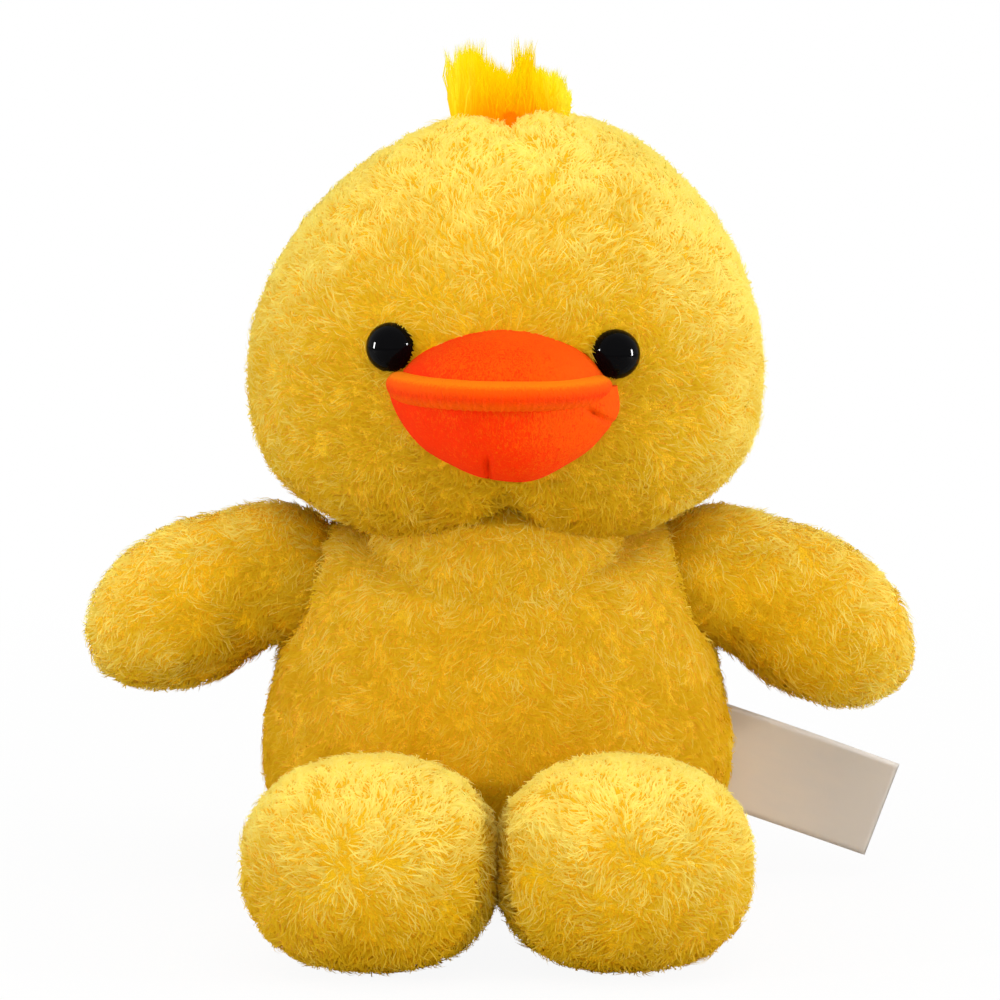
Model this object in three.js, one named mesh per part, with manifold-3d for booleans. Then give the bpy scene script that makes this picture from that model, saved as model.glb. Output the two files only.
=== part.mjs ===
// Plush chick that sits upright: stuffed head, body, wings and feet, a two-part beak,
// safety eyes, a tuft on the crown and a bare sewn-in label. Millimetres, +Z up,
// facing -Y, with the origin on the floor under the middle of the body.
import * as THREE from "three";
import { mergeVertices } from "three/addons/utils/BufferGeometryUtils.js";
import Module from "manifold-3d";

const wasm = await Module();
wasm.setup();

// Clearances and cover
const pieceGap = 0.3; // between pieces that touch or are sewn together
const jointGap = 0.8; // between round surfaces that slide when a limb moves
const overrun = 2; // how far a cutting shape runs past what it cuts
const clothThickness = 1.5; // knitted backing of the plush
const pileThickness = 5.5; // pile that stands on the backing
const coverThickness = clothThickness + pileThickness;
const floorCut = 0.5; // depth of the flat on a form that stands on the floor
const weldDistance = 0.0001; // points closer than this are one point

// Body
const bodyHalfWidth = 79.5;
const bodyHalfDepth = 60;
const bodyWidestHeight = 56;
const bodyHeight = 118; // floor to the top, under the head
const bodyUpperRoundness = 6; // exponent of the outline: 2 is an ellipse, more is squarer
const bodyLowerRoundness = 3;
const bodyTaperShare = 0.18; // how much narrower the shoulders are than the belly

// Neck
const neckSink = 6; // the head's pivot lies this far below the body's top
const neckHeight = bodyHeight - neckSink;
const neckRadius = 42;

// Head
const headHalfWidth = 86;
const headHalfDepth = 70;
const headAboveBody = 57; // from the body's top to the head's widest level
const headWidestHeight = bodyHeight + headAboveBody;
const headRise = 87; // from the widest level to the crown
const headDrop = 52; // from the widest level to the chin
const headUpperRoundness = 1.9;
const headLowerRoundness = 3.1;
const headPlanRoundness = 2.15;
const headOffset = 2.8; // the head sits a little to its own left
const headLean = 6.5; // how far the crown leans that way
const chinCreaseDepth = 5;
const chinCreaseWidth = 9;
const crownDipDepth = 2.5;

// Wings
const shoulderOut = 63;
const shoulderSink = 14; // below the body's top
const shoulderHeight = bodyHeight - shoulderSink;
const wingRootRadius = 21;
const wingLength = 76;
const wingHalfHeight = 28.5;
const wingHalfDepth = 22;
const wingPeakShare = 0.5; // where along its length the wing is fattest
const wingRoundness = 2.2;
const wingSectionRoundness = 2;
const wingFlare = THREE.MathUtils.degToRad(36); // opening of the socket round the wing
const rightWingDroop = { start: THREE.MathUtils.degToRad(-10), end: THREE.MathUtils.degToRad(64) };
const leftWingDroop = { start: THREE.MathUtils.degToRad(-4), end: THREE.MathUtils.degToRad(70) };

// Feet
const hipOut = 34.4;
const hipForward = 41;
const legRadius = 26;
const footLength = 90;
const footHalfHeight = 33.2;
const hipHeight = footHalfHeight - floorCut;
const footHalfWidth = 40.4;
const footSectionRoundness = 2.35; // exponent of its outline seen from the front
const footPeakShare = 0.62;
const footRoundness = 2.1;
const footSplay = THREE.MathUtils.degToRad(6.3);
const footFlare = THREE.MathUtils.degToRad(24);

// Beak
const mouthRise = 1; // the mouth seam lies this far above the head's widest level
const beakHeight = headWidestHeight + mouthRise;
const beakHalfWidth = 36;
const beakForward = 26; // how far the beak reaches in front of its root
const beakRoot = 62; // distance of that root in front of the head's middle
const beakRise = 18.5;
const beakDrop = 31;
const beakClothThickness = 2;
const lipRadius = 5.2;
const lipOverhang = 1.5; // how far the rolled lip stands in front of the beak
const lipSag = 2;
const lipWrapShare = 0.06; // how far past the side, in half turns, the lip's ends run into the face
const faceOffset = 1.6; // the beak and the eyes sit this far to the chick's left

// Eyes
const eyeOut = 35.6;
const leftEyeRise = 10.5; // above the head's widest level
const rightEyeRise = 13.2;
const leftEyeHeight = headWidestHeight + leftEyeRise;
const rightEyeHeight = headWidestHeight + rightEyeRise;
const eyeRadius = 7.7;
const eyeDomeHeight = 7.4;
const eyeShankRadius = 2.5;
const eyeShankLength = 12;
const washerRadius = 9;
const washerThickness = 1.8;

// Tuft
const tuftWidth = 41;
const tuftHeight = 21; // above the crown
const tuftDepth = 14;
const tuftOut = 4; // its middle lies this far to the chick's left
const tuftRoot = 10; // how far its outline runs down before the head cuts it

// Label
const labelWidth = 33;
const labelLength = 58;
const labelThickness = 0.8;
const labelBack = 15; // the side seam that holds it, behind the middle
const labelHeight = 46;
const labelDroop = THREE.MathUtils.degToRad(20.5);
const labelTurn = THREE.MathUtils.degToRad(8);

// Facets: rings from pole to pole and sides round, finer outside than inside
const outerFacets = { rings: 20, sides: 28 };
const innerFacets = { rings: 12, sides: 16 };
const limbFacets = { rings: 16, sides: 18 };
const limbInnerFacets = { rings: 12, sides: 12 };
const ballFacets = { rings: 14, sides: 28 };
const socketFacets = { rings: 6, sides: 18 };
const beakFacets = { rings: 14, sides: 20 };
const beakInnerFacets = { rings: 10, sides: 14 };
const lipFacets = { rings: 20, sides: 4 };
const rootRingShare = 0.25; // of a limb's rings lie on its round root
const risingRingShare = 0.25; // and on the stretch up to its fattest place
const eyeFacets = { rings: 5, sides: 16 };

// Colours
const plushYellow = 0xf0c040;
const bodyYellow = 0xe6b020;
const footYellow = 0xf3cc50;
const beakOrange = 0xff5a0a;
const lipOrange = 0xff7a14;
const tuftYellow = 0xffd400;
const fibreWhite = 0xf2f0ea;
const eyeBlack = 0x050505;
const washerWhite = 0xe8e8e4;
const labelBeige = 0xc9b9a4;

// A closed surface from pole to pole. place(down, round) gets shares from 0 to 1 and
// returns a point; it runs anticlockwise seen from the first pole.
function closedForm({ rings, sides }, place) {
  const points = [place(0, 0)];
  for (let ring = 1; ring < rings; ring += 1) {
    for (let side = 0; side < sides; side += 1) {
      points.push(place(ring / rings, side / sides));
    }
  }
  points.push(place(1, 0));
  const faces = [];
  const at = (ring, side) => 1 + (ring - 1) * sides + (side % sides);
  const last = points.length - 1;
  for (let side = 0; side < sides; side += 1) {
    faces.push(0, at(1, side), at(1, side + 1));
    for (let ring = 1; ring < rings - 1; ring += 1) {
      faces.push(at(ring, side), at(ring + 1, side), at(ring + 1, side + 1));
      faces.push(at(ring, side), at(ring + 1, side + 1), at(ring, side + 1));
    }
    faces.push(last, at(rings - 1, side + 1), at(rings - 1, side));
  }
  const geometry = new THREE.BufferGeometry();
  geometry.setAttribute("position", new THREE.Float32BufferAttribute(points.flat(), 3));
  geometry.setIndex(faces);
  return geometry;
}

// The same surface on the other side of the middle plane, still facing outwards.
function mirrored(geometry) {
  const copy = geometry.clone().scale(-1, 1, 1);
  const index = copy.index.array;
  for (let face = 0; face < index.length; face += 3) {
    [index[face], index[face + 1]] = [index[face + 1], index[face]];
  }
  return copy;
}

function solidFrom(geometry) {
  const bare = geometry.clone();
  bare.deleteAttribute("normal");
  bare.deleteAttribute("uv");
  const merged = mergeVertices(bare, weldDistance);
  return new wasm.Manifold(new wasm.Mesh({
    numProp: 3,
    vertProperties: new Float32Array(merged.attributes.position.array),
    triVerts: new Uint32Array(merged.index.array),
  }));
}

function geometryFrom(solid) {
  const mesh = solid.getMesh();
  const geometry = new THREE.BufferGeometry();
  geometry.setAttribute("position", new THREE.BufferAttribute(mesh.vertProperties, 3));
  geometry.setIndex(new THREE.BufferAttribute(mesh.triVerts, 1));
  geometry.computeVertexNormals();
  return geometry;
}

const power = (value, exponent) => Math.sign(value) * Math.abs(value) ** exponent;
const ease = (share) => share * share * (3 - 2 * share);
const ball = (radius, centre) =>
  solidFrom(new THREE.SphereGeometry(radius, ballFacets.sides, ballFacets.rings).rotateX(Math.PI / 2)
    .translate(centre.x, centre.y, centre.z));

// A block that covers everything below a level, wide enough for the whole part.
function everythingBelow(level) {
  const reach = 2 * (bodyHeight + headRise + headDrop);
  return solidFrom(new THREE.BoxGeometry(reach, reach, reach).translate(0, 0, level - reach / 2));
}

// Body and head share one kind of form: an oval plan, with an outline of one roundness
// above the widest level and another below it. inset moves the whole surface inwards.
function bodyForm(inset) {
  const rise = bodyHeight - bodyWidestHeight - inset;
  const drop = bodyWidestHeight + floorCut - inset;
  return closedForm(inset > 0 ? innerFacets : outerFacets, (down, round) => {
    const level = Math.cos(Math.PI * down);
    const upper = level > 0;
    const exponent = 2 / (upper ? bodyUpperRoundness : bodyLowerRoundness);
    const height = power(level, exponent) * (upper ? rise : drop);
    const taper = 1 - bodyTaperShare * Math.max(0, height / rise);
    const spread = power(Math.sin(Math.PI * down), exponent) * taper;
    return [
      (bodyHalfWidth - inset) * spread * Math.cos(2 * Math.PI * round),
      (bodyHalfDepth - inset) * spread * Math.sin(2 * Math.PI * round),
      bodyWidestHeight + height,
    ];
  });
}

// How far the head leans sideways at a height above its widest level.
const leanAt = (height) => headLean * (height / headRise) * Math.abs(height / headRise);

function headForm(inset) {
  return closedForm(inset > 0 ? innerFacets : outerFacets, (down, round) => {
    const level = Math.cos(Math.PI * down);
    const upper = level > 0;
    const exponent = 2 / (upper ? headUpperRoundness : headLowerRoundness);
    const spread = power(Math.sin(Math.PI * down), exponent);
    const out = power(Math.cos(2 * Math.PI * round), 2 / headPlanRoundness);
    const back = power(Math.sin(2 * Math.PI * round), 2 / headPlanRoundness);
    const x = (headHalfWidth - inset) * spread * out;
    const y = (headHalfDepth - inset) * spread * back;
    const nearMiddle = Math.exp(-((x / chinCreaseWidth) ** 2));
    const chin = nearMiddle * spread * Math.max(0, -back) * Math.max(0, -level);
    const crown = nearMiddle * Math.max(0, level) ** 4;
    const height = power(level, exponent) * ((upper ? headRise : headDrop) - inset);
    return [
      headOffset + leanAt(height) + x,
      y + chinCreaseDepth * chin,
      headWidestHeight + height - crownDipDepth * crown,
    ];
  });
}

// Distance from the middle plane's front to the face at a place on it.
function faceDepth(x, height) {
  const upper = height > headWidestHeight;
  const roundness = upper ? headUpperRoundness : headLowerRoundness;
  const rise = Math.abs(height - headWidestHeight) / (upper ? headRise : headDrop);
  const spread = (1 - rise ** roundness) ** (1 / roundness);
  const out = Math.abs(x - headOffset - leanAt(height - headWidestHeight)) / (headHalfWidth * spread);
  return headHalfDepth * spread * (1 - out ** headPlanRoundness) ** (1 / headPlanRoundness);
}

// A limb runs out along +X from its pivot at zero: a round root, a swelling and a round
// end. droop bends it downwards along the way. capExtra pushes the root's end outwards.
function limbForm(size, inset, capExtra) {
  const cap = size.rootRadius + capExtra;
  const tube = size.rootRadius - inset;
  const length = size.length - inset;
  const bend = (size.droop.end - size.droop.start) / size.length;
  const swell = (share, most) => {
    if (share < size.peakShare) return tube + (most - inset - tube) * ease(share / size.peakShare);
    const rest = Math.min(1, (share - size.peakShare) / (1 - size.peakShare));
    return (most - inset) * Math.max(0, 1 - rest ** size.roundness) ** (1 / size.roundness);
  };
  return closedForm(inset > 0 ? limbInnerFacets : limbFacets, (down, round) => {
    let along = 0;
    let across = 0;
    let high = 0;
    let section = 2;
    if (down < rootRingShare) {
      const turn = (Math.PI / 2) * (down / rootRingShare);
      along = -cap * Math.cos(turn);
      across = Math.min(tube, cap * Math.sin(turn));
      high = across;
    } else {
      const rising = (down - rootRingShare) / risingRingShare;
      const end = (down - rootRingShare - risingRingShare) / (1 - rootRingShare - risingRingShare);
      const share = end < 0 ? size.peakShare * rising
        : size.peakShare + (1 - size.peakShare) * Math.sin(end * Math.PI / 2);
      along = length * share;
      across = swell(share, size.halfDepth);
      high = swell(share, size.halfHeight);
      section += (size.sectionRoundness - 2) * ease(Math.min(1, share / size.peakShare));
    }
    const angle = size.droop.start + bend * Math.max(0, along);
    const straight = Math.min(0, along);
    const arcX = bend ? (Math.sin(angle) - Math.sin(size.droop.start)) / bend : Math.max(0, along);
    const arcZ = bend ? (Math.cos(angle) - Math.cos(size.droop.start)) / bend : 0;
    const up = high * power(Math.sin(2 * Math.PI * round), 2 / section);
    return [
      arcX + straight * Math.cos(size.droop.start) + up * Math.sin(angle),
      -across * power(Math.cos(2 * Math.PI * round), 2 / section),
      arcZ - straight * Math.sin(size.droop.start) + up * Math.cos(angle),
    ];
  });
}

// The hollow that a limb's root moves in: a ball that opens into a cone along +X.
function socket(radius, flare, reach) {
  const profile = [];
  for (let step = 0; step <= socketFacets.rings; step += 1) {
    const turn = (Math.PI / 2 - flare) * (step / socketFacets.rings);
    profile.push(new THREE.Vector2(radius * Math.sin(turn), -radius * Math.cos(turn)));
  }
  profile.push(new THREE.Vector2(radius / Math.cos(flare) + reach * Math.tan(flare), reach));
  profile.push(new THREE.Vector2(0, reach));
  return new THREE.LatheGeometry(profile, socketFacets.sides).rotateZ(-Math.PI / 2);
}

// Head on its neck
const neckPivot = new THREE.Vector3(0, 0, neckHeight);
const neckBall = ball(neckRadius, neckPivot);
const neckHollow = ball(neckRadius + jointGap, neckPivot);
const headOutside = solidFrom(headForm(0));
const headRoom = solidFrom(headForm(-pieceGap));

// Safety eyes: a dome on a shank through the cover, held by a washer behind the cloth
function eyeParts(side, height) {
  const x = faceOffset + side * eyeOut;
  const depth = faceDepth(x, height);
  const turn = Math.atan2((x - headOffset) / headHalfWidth ** 2, depth / headHalfDepth ** 2);
  const place = (geometry) => solidFrom(geometry.rotateX(Math.PI).rotateZ(turn).translate(x, -depth, height));
  const seat = -pileThickness + pieceGap; // where the dome's flat back lies
  const back = -coverThickness - pieceGap; // where the washer's face lies
  const dome = [
    new THREE.Vector2(0, seat - eyeShankLength),
    new THREE.Vector2(eyeShankRadius, seat - eyeShankLength),
    new THREE.Vector2(eyeShankRadius, seat),
  ];
  for (let step = 0; step <= eyeFacets.rings; step += 1) {
    const angle = (Math.PI / 2) * (step / eyeFacets.rings);
    dome.push(new THREE.Vector2(eyeRadius * Math.cos(angle), seat + eyeDomeHeight * Math.sin(angle)));
  }
  dome[dome.length - 1].x = 0;
  const hole = eyeShankRadius + pieceGap;
  const rim = [
    new THREE.Vector2(hole, back), new THREE.Vector2(hole, back - washerThickness),
    new THREE.Vector2(washerRadius, back - washerThickness), new THREE.Vector2(washerRadius, back),
    new THREE.Vector2(hole, back),
  ];
  const column = (radius, from, to) => {
    const drum = new THREE.CylinderGeometry(radius, radius, to - from, eyeFacets.sides);
    return place(drum.translate(0, (from + to) / 2, 0));
  };
  const pocket = column(eyeRadius + pieceGap, seat - pieceGap, overrun + pileThickness);
  const bore = column(hole, back - overrun, seat);
  const roomDepth = seat - eyeShankLength - pieceGap;
  const washerRoom = column(washerRadius + pieceGap, roomDepth, back + pieceGap);
  return {
    eye: place(new THREE.LatheGeometry(dome, eyeFacets.sides)),
    washer: place(new THREE.LatheGeometry(rim, eyeFacets.sides)),
    coverCut: pocket.add(bore).add(washerRoom),
    stuffingCut: washerRoom,
  };
}

const leftEye = eyeParts(1, leftEyeHeight);
const rightEye = eyeParts(-1, rightEyeHeight);

const headCover = headOutside.subtract(solidFrom(headForm(coverThickness))).subtract(neckHollow)
  .subtract(leftEye.coverCut).subtract(rightEye.coverCut);
const headStuffing = solidFrom(headForm(coverThickness + pieceGap)).subtract(neckHollow)
  .subtract(leftEye.stuffingCut).subtract(rightEye.stuffingCut);

// Beak: a rolled lip on the mouth seam, an upper and a lower cover and their stuffing
function beakForm(inset) {
  return closedForm(inset > 0 ? beakInnerFacets : beakFacets, (down, round) => {
    const level = Math.cos(Math.PI * down);
    const spread = Math.sin(Math.PI * down);
    return [
      faceOffset + (beakHalfWidth - inset) * spread * Math.cos(2 * Math.PI * round),
      -beakRoot + (beakForward - inset) * spread * Math.sin(2 * Math.PI * round),
      beakHeight + level * ((level > 0 ? beakRise : beakDrop) - inset),
    ];
  });
}

class LipCurve extends THREE.Curve {
  getPoint(share) {
    const turn = Math.PI * (1 + lipWrapShare - (1 + 2 * lipWrapShare) * share);
    return new THREE.Vector3(
      faceOffset + (beakHalfWidth - lipRadius + lipOverhang) * Math.cos(turn),
      -beakRoot - (beakForward - lipRadius + lipOverhang) * Math.sin(turn),
      beakHeight - lipSag * Math.sin(turn),
    );
  }
}

function lipTube(radius) {
  const section = new THREE.Shape();
  section.absarc(0, 0, radius, 0, 2 * Math.PI);
  return solidFrom(new THREE.ExtrudeGeometry(section, {
    steps: lipFacets.rings, curveSegments: lipFacets.sides, bevelEnabled: false, extrudePath: new LipCurve(),
  }));
}

const beakNeighbours = headRoom.add(leftEye.coverCut).add(rightEye.coverCut);
const lip = lipTube(lipRadius).subtract(beakNeighbours);
const lipRoom = lipTube(lipRadius + pieceGap);
const beakShell = solidFrom(beakForm(0)).subtract(solidFrom(beakForm(beakClothThickness)))
  .subtract(beakNeighbours).subtract(lipRoom);
const beakUnder = everythingBelow(beakHeight);
const upperBeak = beakShell.subtract(beakUnder);
const lowerBeak = beakShell.intersect(beakUnder);
const beakStuffing = solidFrom(beakForm(beakClothThickness + pieceGap))
  .subtract(beakNeighbours).subtract(lipRoom);

// Tuft: an upright bunch whose outline follows the photographed one, as shares of its size
const tuftOutlineShares = [
  [-0.5, -1], [-0.52, 0.55], [-0.42, 0.68], [-0.36, 0.5], [-0.29, 0.94], [-0.2, 0.58],
  [0, 0.48], [0.06, 0.62], [0.13, 1], [0.19, 0.56], [0.34, 0.5], [0.47, 0.36], [0.5, 0.1], [0.44, -1],
];
const crownHeight = headWidestHeight + headRise;
const tuftShape = new THREE.Shape(tuftOutlineShares.map(([across, up]) =>
  new THREE.Vector2(across * tuftWidth, up * (up > 0 ? tuftHeight : tuftRoot))));
const tuft = solidFrom(new THREE.ExtrudeGeometry(tuftShape, { depth: tuftDepth, bevelEnabled: false })
  .translate(0, 0, -tuftDepth / 2).rotateX(Math.PI / 2)
  .translate(tuftOut, 0, crownHeight)).subtract(headRoom);

// Wings and feet
const wingSize = {
  rootRadius: wingRootRadius, length: wingLength, halfHeight: wingHalfHeight, halfDepth: wingHalfDepth,
  peakShare: wingPeakShare, roundness: wingRoundness, sectionRoundness: wingSectionRoundness,
};
const footSize = {
  rootRadius: legRadius, length: footLength, halfHeight: footHalfHeight, halfDepth: footHalfWidth,
  peakShare: footPeakShare, roundness: footRoundness, sectionRoundness: footSectionRoundness,
  droop: { start: 0, end: 0 },
};

// Cover, stuffing and socket of one limb, where place moves a geometry from +X to its pivot.
function limbParts(size, flare, place) {
  const outside = place(limbForm(size, 0, 0));
  const hollow = place(limbForm(size, coverThickness, overrun));
  return {
    cover: outside.subtract(hollow),
    stuffing: place(limbForm(size, coverThickness + pieceGap, 0)),
    room: place(socket(size.rootRadius + jointGap, flare, size.length)),
  };
}

function wingAt(side, droop) {
  const pivot = new THREE.Vector3(side * shoulderOut, 0, shoulderHeight);
  const place = (geometry) => {
    const turned = side > 0 ? geometry : mirrored(geometry);
    return solidFrom(turned.translate(pivot.x, pivot.y, pivot.z));
  };
  const parts = limbParts({ ...wingSize, droop }, wingFlare, place);
  return { ...parts, pivot };
}

function footAt(side) {
  const pivot = new THREE.Vector3(side * hipOut, -hipForward, hipHeight);
  const place = (geometry) => {
    const forward = geometry.rotateZ(-Math.PI / 2 + footSplay);
    const turned = side > 0 ? forward : mirrored(forward);
    return solidFrom(turned.translate(pivot.x, pivot.y, pivot.z));
  };
  const parts = limbParts(footSize, footFlare, place);
  return { ...parts, cover: parts.cover.subtract(everythingBelow(0)), pivot };
}

const leftWing = wingAt(1, leftWingDroop);
const rightWing = wingAt(-1, rightWingDroop);
const leftFoot = footAt(1);
const rightFoot = footAt(-1);

// Body
const limbRoom = neckHollow.add(leftWing.room).add(rightWing.room).add(leftFoot.room).add(rightFoot.room);
const bodyCover = solidFrom(bodyForm(0)).subtract(solidFrom(bodyForm(coverThickness))).subtract(limbRoom)
  .subtract(everythingBelow(0));
const bodyStuffing = solidFrom(bodyForm(coverThickness + pieceGap)).subtract(limbRoom);

// Label: a folded ribbon that stands out of the side seam
const labelRoot = new THREE.Vector3(
  (bodyHalfWidth + pieceGap) * Math.sqrt(1 - (labelBack / bodyHalfDepth) ** 2), labelBack, labelHeight,
);
const label = solidFrom(new THREE.BoxGeometry(labelLength, labelThickness, labelWidth)
  .translate(labelLength / 2, 0, 0).rotateY(labelDroop).rotateZ(labelTurn)
  .translate(labelRoot.x, labelRoot.y, labelRoot.z)).subtract(solidFrom(bodyForm(-pieceGap)));

// The scene: the body carries the neck, and a group stands at the pivot of what moves
const chick = new THREE.Group();
const neck = new THREE.Group();
neck.position.copy(neckPivot);
chick.add(neck);

function addPiece(group, name, solid, color, roughness) {
  const place = new THREE.Vector3();
  for (let holder = group; holder; holder = holder.parent) place.add(holder.position);
  const geometry = geometryFrom(solid).translate(-place.x, -place.y, -place.z);
  const mesh = new THREE.Mesh(geometry, new THREE.MeshStandardMaterial({ color, roughness, metalness: 0 }));
  mesh.name = name;
  group.add(mesh);
}

addPiece(chick, "body_cover", bodyCover, bodyYellow, 0.95);
addPiece(chick, "body_stuffing", bodyStuffing, fibreWhite, 1);
addPiece(chick, "label", label, labelBeige, 0.5);
addPiece(neck, "neck_stuffing", neckBall, fibreWhite, 1);
addPiece(neck, "head_cover", headCover, plushYellow, 0.95);
addPiece(neck, "head_stuffing", headStuffing, fibreWhite, 1);
addPiece(neck, "upper_beak", upperBeak, beakOrange, 0.9);
addPiece(neck, "lower_beak", lowerBeak, beakOrange, 0.9);
addPiece(neck, "beak_lip", lip, lipOrange, 0.9);
addPiece(neck, "beak_stuffing", beakStuffing, fibreWhite, 1);
addPiece(neck, "tuft", tuft, tuftYellow, 0.9);
for (const [side, eye] of [["left", leftEye], ["right", rightEye]]) {
  addPiece(neck, `${side}_eye`, eye.eye, eyeBlack, 0.05);
  addPiece(neck, `${side}_eye_washer`, eye.washer, washerWhite, 0.5);
}
const limbs = [
  ["left_wing", leftWing, plushYellow], ["right_wing", rightWing, plushYellow],
  ["left_foot", leftFoot, footYellow], ["right_foot", rightFoot, footYellow],
];
for (const [name, limb, color] of limbs) {
  const group = new THREE.Group();
  group.position.copy(limb.pivot);
  chick.add(group);
  addPiece(group, `${name}_cover`, limb.cover, color, 0.95);
  addPiece(group, `${name}_stuffing`, limb.stuffing, fibreWhite, 1);
}

export default chick;
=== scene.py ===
import math

import bpy
import numpy as np
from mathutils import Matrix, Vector, kdtree


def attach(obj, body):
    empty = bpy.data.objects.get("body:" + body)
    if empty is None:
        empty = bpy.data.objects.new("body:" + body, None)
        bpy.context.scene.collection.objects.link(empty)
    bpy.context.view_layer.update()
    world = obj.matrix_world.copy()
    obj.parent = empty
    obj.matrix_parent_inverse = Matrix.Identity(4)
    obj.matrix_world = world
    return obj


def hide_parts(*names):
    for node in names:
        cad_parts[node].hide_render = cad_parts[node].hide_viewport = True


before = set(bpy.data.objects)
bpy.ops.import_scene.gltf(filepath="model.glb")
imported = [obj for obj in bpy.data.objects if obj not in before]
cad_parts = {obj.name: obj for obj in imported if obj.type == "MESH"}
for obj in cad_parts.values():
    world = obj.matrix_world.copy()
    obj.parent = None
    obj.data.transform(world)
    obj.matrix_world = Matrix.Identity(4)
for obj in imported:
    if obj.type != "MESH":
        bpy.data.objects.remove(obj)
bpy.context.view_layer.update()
scene = bpy.context.scene

# Stage. A pale floor that runs out to white, soft light from above and from both sides,
# and the camera a little above the chick, as in the photograph.
FLOOR_SIZE = 12
FLOOR_COLOUR = (0.86, 0.855, 0.845, 1)
FLOOR_GLOW_NEAR = 0.93  # share of the floor's own white near the chick
FLOOR_FADE = (0.12, 0.7)  # distances between which that share grows to the whole
WORLD_LIGHT = 0.58
BACKDROP_LIGHT = 1


def add_node(nodes, kind, values=None, **settings):
    """A shader node, with the values of its sockets and its settings."""
    node = nodes.new("ShaderNode" + kind)
    for setting, choice in settings.items():
        setattr(node, setting, choice)
    for socket, value in (values or {}).items():
        node.inputs[socket].default_value = value
    return node


bpy.ops.object.select_all(action="DESELECT")
bpy.ops.mesh.primitive_plane_add(size=FLOOR_SIZE)
floor = bpy.context.object
floor.name = "floor"
paper = bpy.data.materials.new("floor_paper")
paper.use_nodes = True
paper_nodes, paper_links = paper.node_tree.nodes, paper.node_tree.links
paper_shader = paper_nodes["Principled BSDF"]
paper_shader.inputs["Base Color"].default_value = FLOOR_COLOUR
paper_shader.inputs["Roughness"].default_value = 0.9
paper_glow = add_node(paper_nodes, "Emission")
paper_ray = add_node(paper_nodes, "LightPath")
paper_place = add_node(paper_nodes, "TexCoord")
paper_reach = add_node(paper_nodes, "VectorMath", operation="LENGTH")
paper_fade = add_node(
    paper_nodes, "MapRange",
    {"From Min": FLOOR_FADE[0], "From Max": FLOOR_FADE[1], "To Min": FLOOR_GLOW_NEAR},
)
paper_share = add_node(paper_nodes, "Math", operation="MULTIPLY")
paper_mix = add_node(paper_nodes, "MixShader")
for source, target in (
    (paper_place.outputs["Object"], paper_reach.inputs[0]),
    (paper_reach.outputs["Value"], paper_fade.inputs["Value"]),
    (paper_fade.outputs["Result"], paper_share.inputs[1]),
    (paper_ray.outputs["Is Camera Ray"], paper_share.inputs[0]),
    (paper_share.outputs[0], paper_mix.inputs[0]),
    (paper_shader.outputs[0], paper_mix.inputs[1]),
    (paper_glow.outputs[0], paper_mix.inputs[2]),
    (paper_mix.outputs[0], paper_nodes["Material Output"].inputs["Surface"]),
):
    paper_links.new(source, target)
floor.data.materials.append(paper)

world = bpy.data.worlds.new("studio")
scene.world = world
world.use_nodes = True
sky = world.node_tree.nodes["Background"]
sky.inputs["Color"].default_value = (1, 1, 1, 1)
sky_ray = add_node(world.node_tree.nodes, "LightPath")
sky_seen = add_node(world.node_tree.nodes, "Math", operation="MAXIMUM")
sky_level = add_node(world.node_tree.nodes, "MapRange",
                     {"To Min": WORLD_LIGHT, "To Max": BACKDROP_LIGHT})
for source, target in (
    (sky_ray.outputs["Is Camera Ray"], sky_seen.inputs[0]),
    (sky_ray.outputs["Is Glossy Ray"], sky_seen.inputs[1]),
    (sky_seen.outputs[0], sky_level.inputs["Value"]),
    (sky_level.outputs["Result"], sky.inputs["Strength"]),
):
    world.node_tree.links.new(source, target)

LAMPS = {  # place, width, height and power in watts; each looks at the chick's middle
    "lamp_above": ((0.12, -0.80, 1.55), 1.5, 1.2, 10.2),
    "lamp_left": ((-1.05, -0.62, 0.50), 0.07, 0.21, 3.6),
    "lamp_right": ((1.17, -0.48, 0.42), 0.07, 0.21, 5.0),
    "glint_left": ((-1.17, -0.20, 0.34), 0.16, 0.42, 60),
    "glint_right": ((1.17, -0.20, 0.30), 0.16, 0.42, 60),
}
CHICK_MIDDLE = Vector((0, 0, 0.14))
for lamp_name, (place, width, height, power) in LAMPS.items():
    bpy.ops.object.light_add(type="AREA", location=place)
    lamp = bpy.context.object
    lamp.name = lamp_name
    lamp.data.shape = "RECTANGLE"
    lamp.data.size, lamp.data.size_y = width, height
    lamp.data.energy = power
    # the glints show only in the eyes' polish, and the other lamps only in the matt light
    lamp.visible_glossy = lamp_name.startswith("glint")
    lamp.visible_diffuse = lamp.visible_transmission = not lamp.visible_glossy
    lamp.rotation_euler = (CHICK_MIDDLE - Vector(place)).to_track_quat("-Z", "Y").to_euler()

CAMERA_AIM = Vector((0.0008, 0, 0.132))
CAMERA_DISTANCE = 1.2
CAMERA_RISE = math.radians(7.5)
CAMERA_LENS = 132.1
bpy.ops.object.camera_add(
    location=CAMERA_AIM
    + Vector((0, -math.cos(CAMERA_RISE), math.sin(CAMERA_RISE))) * CAMERA_DISTANCE,
    rotation=(math.radians(90) - CAMERA_RISE, 0, 0),
)
camera = bpy.context.object
camera.data.lens = CAMERA_LENS
scene.camera = camera
scene.view_settings.view_transform = "Standard"

# Head. A round bag of long-pile rabbit plush, stuffed tight, with a tuck under the chin and
# a small dip where the tuft is sewn in. The bag is swollen as cloth with air pressure in it,
# and the pile is combed away from the beak.
HEAD = dict(out=0.0855, back=0.070, rise=0.087, drop=0.0535, upper=1.9, lower=3.0, plan=2.15)
HEAD_MIDDLE = Vector((0.0028, 0, 0.175))
HEAD_LEAN = 0.0045  # how far the crown leans to the chick's left
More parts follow.
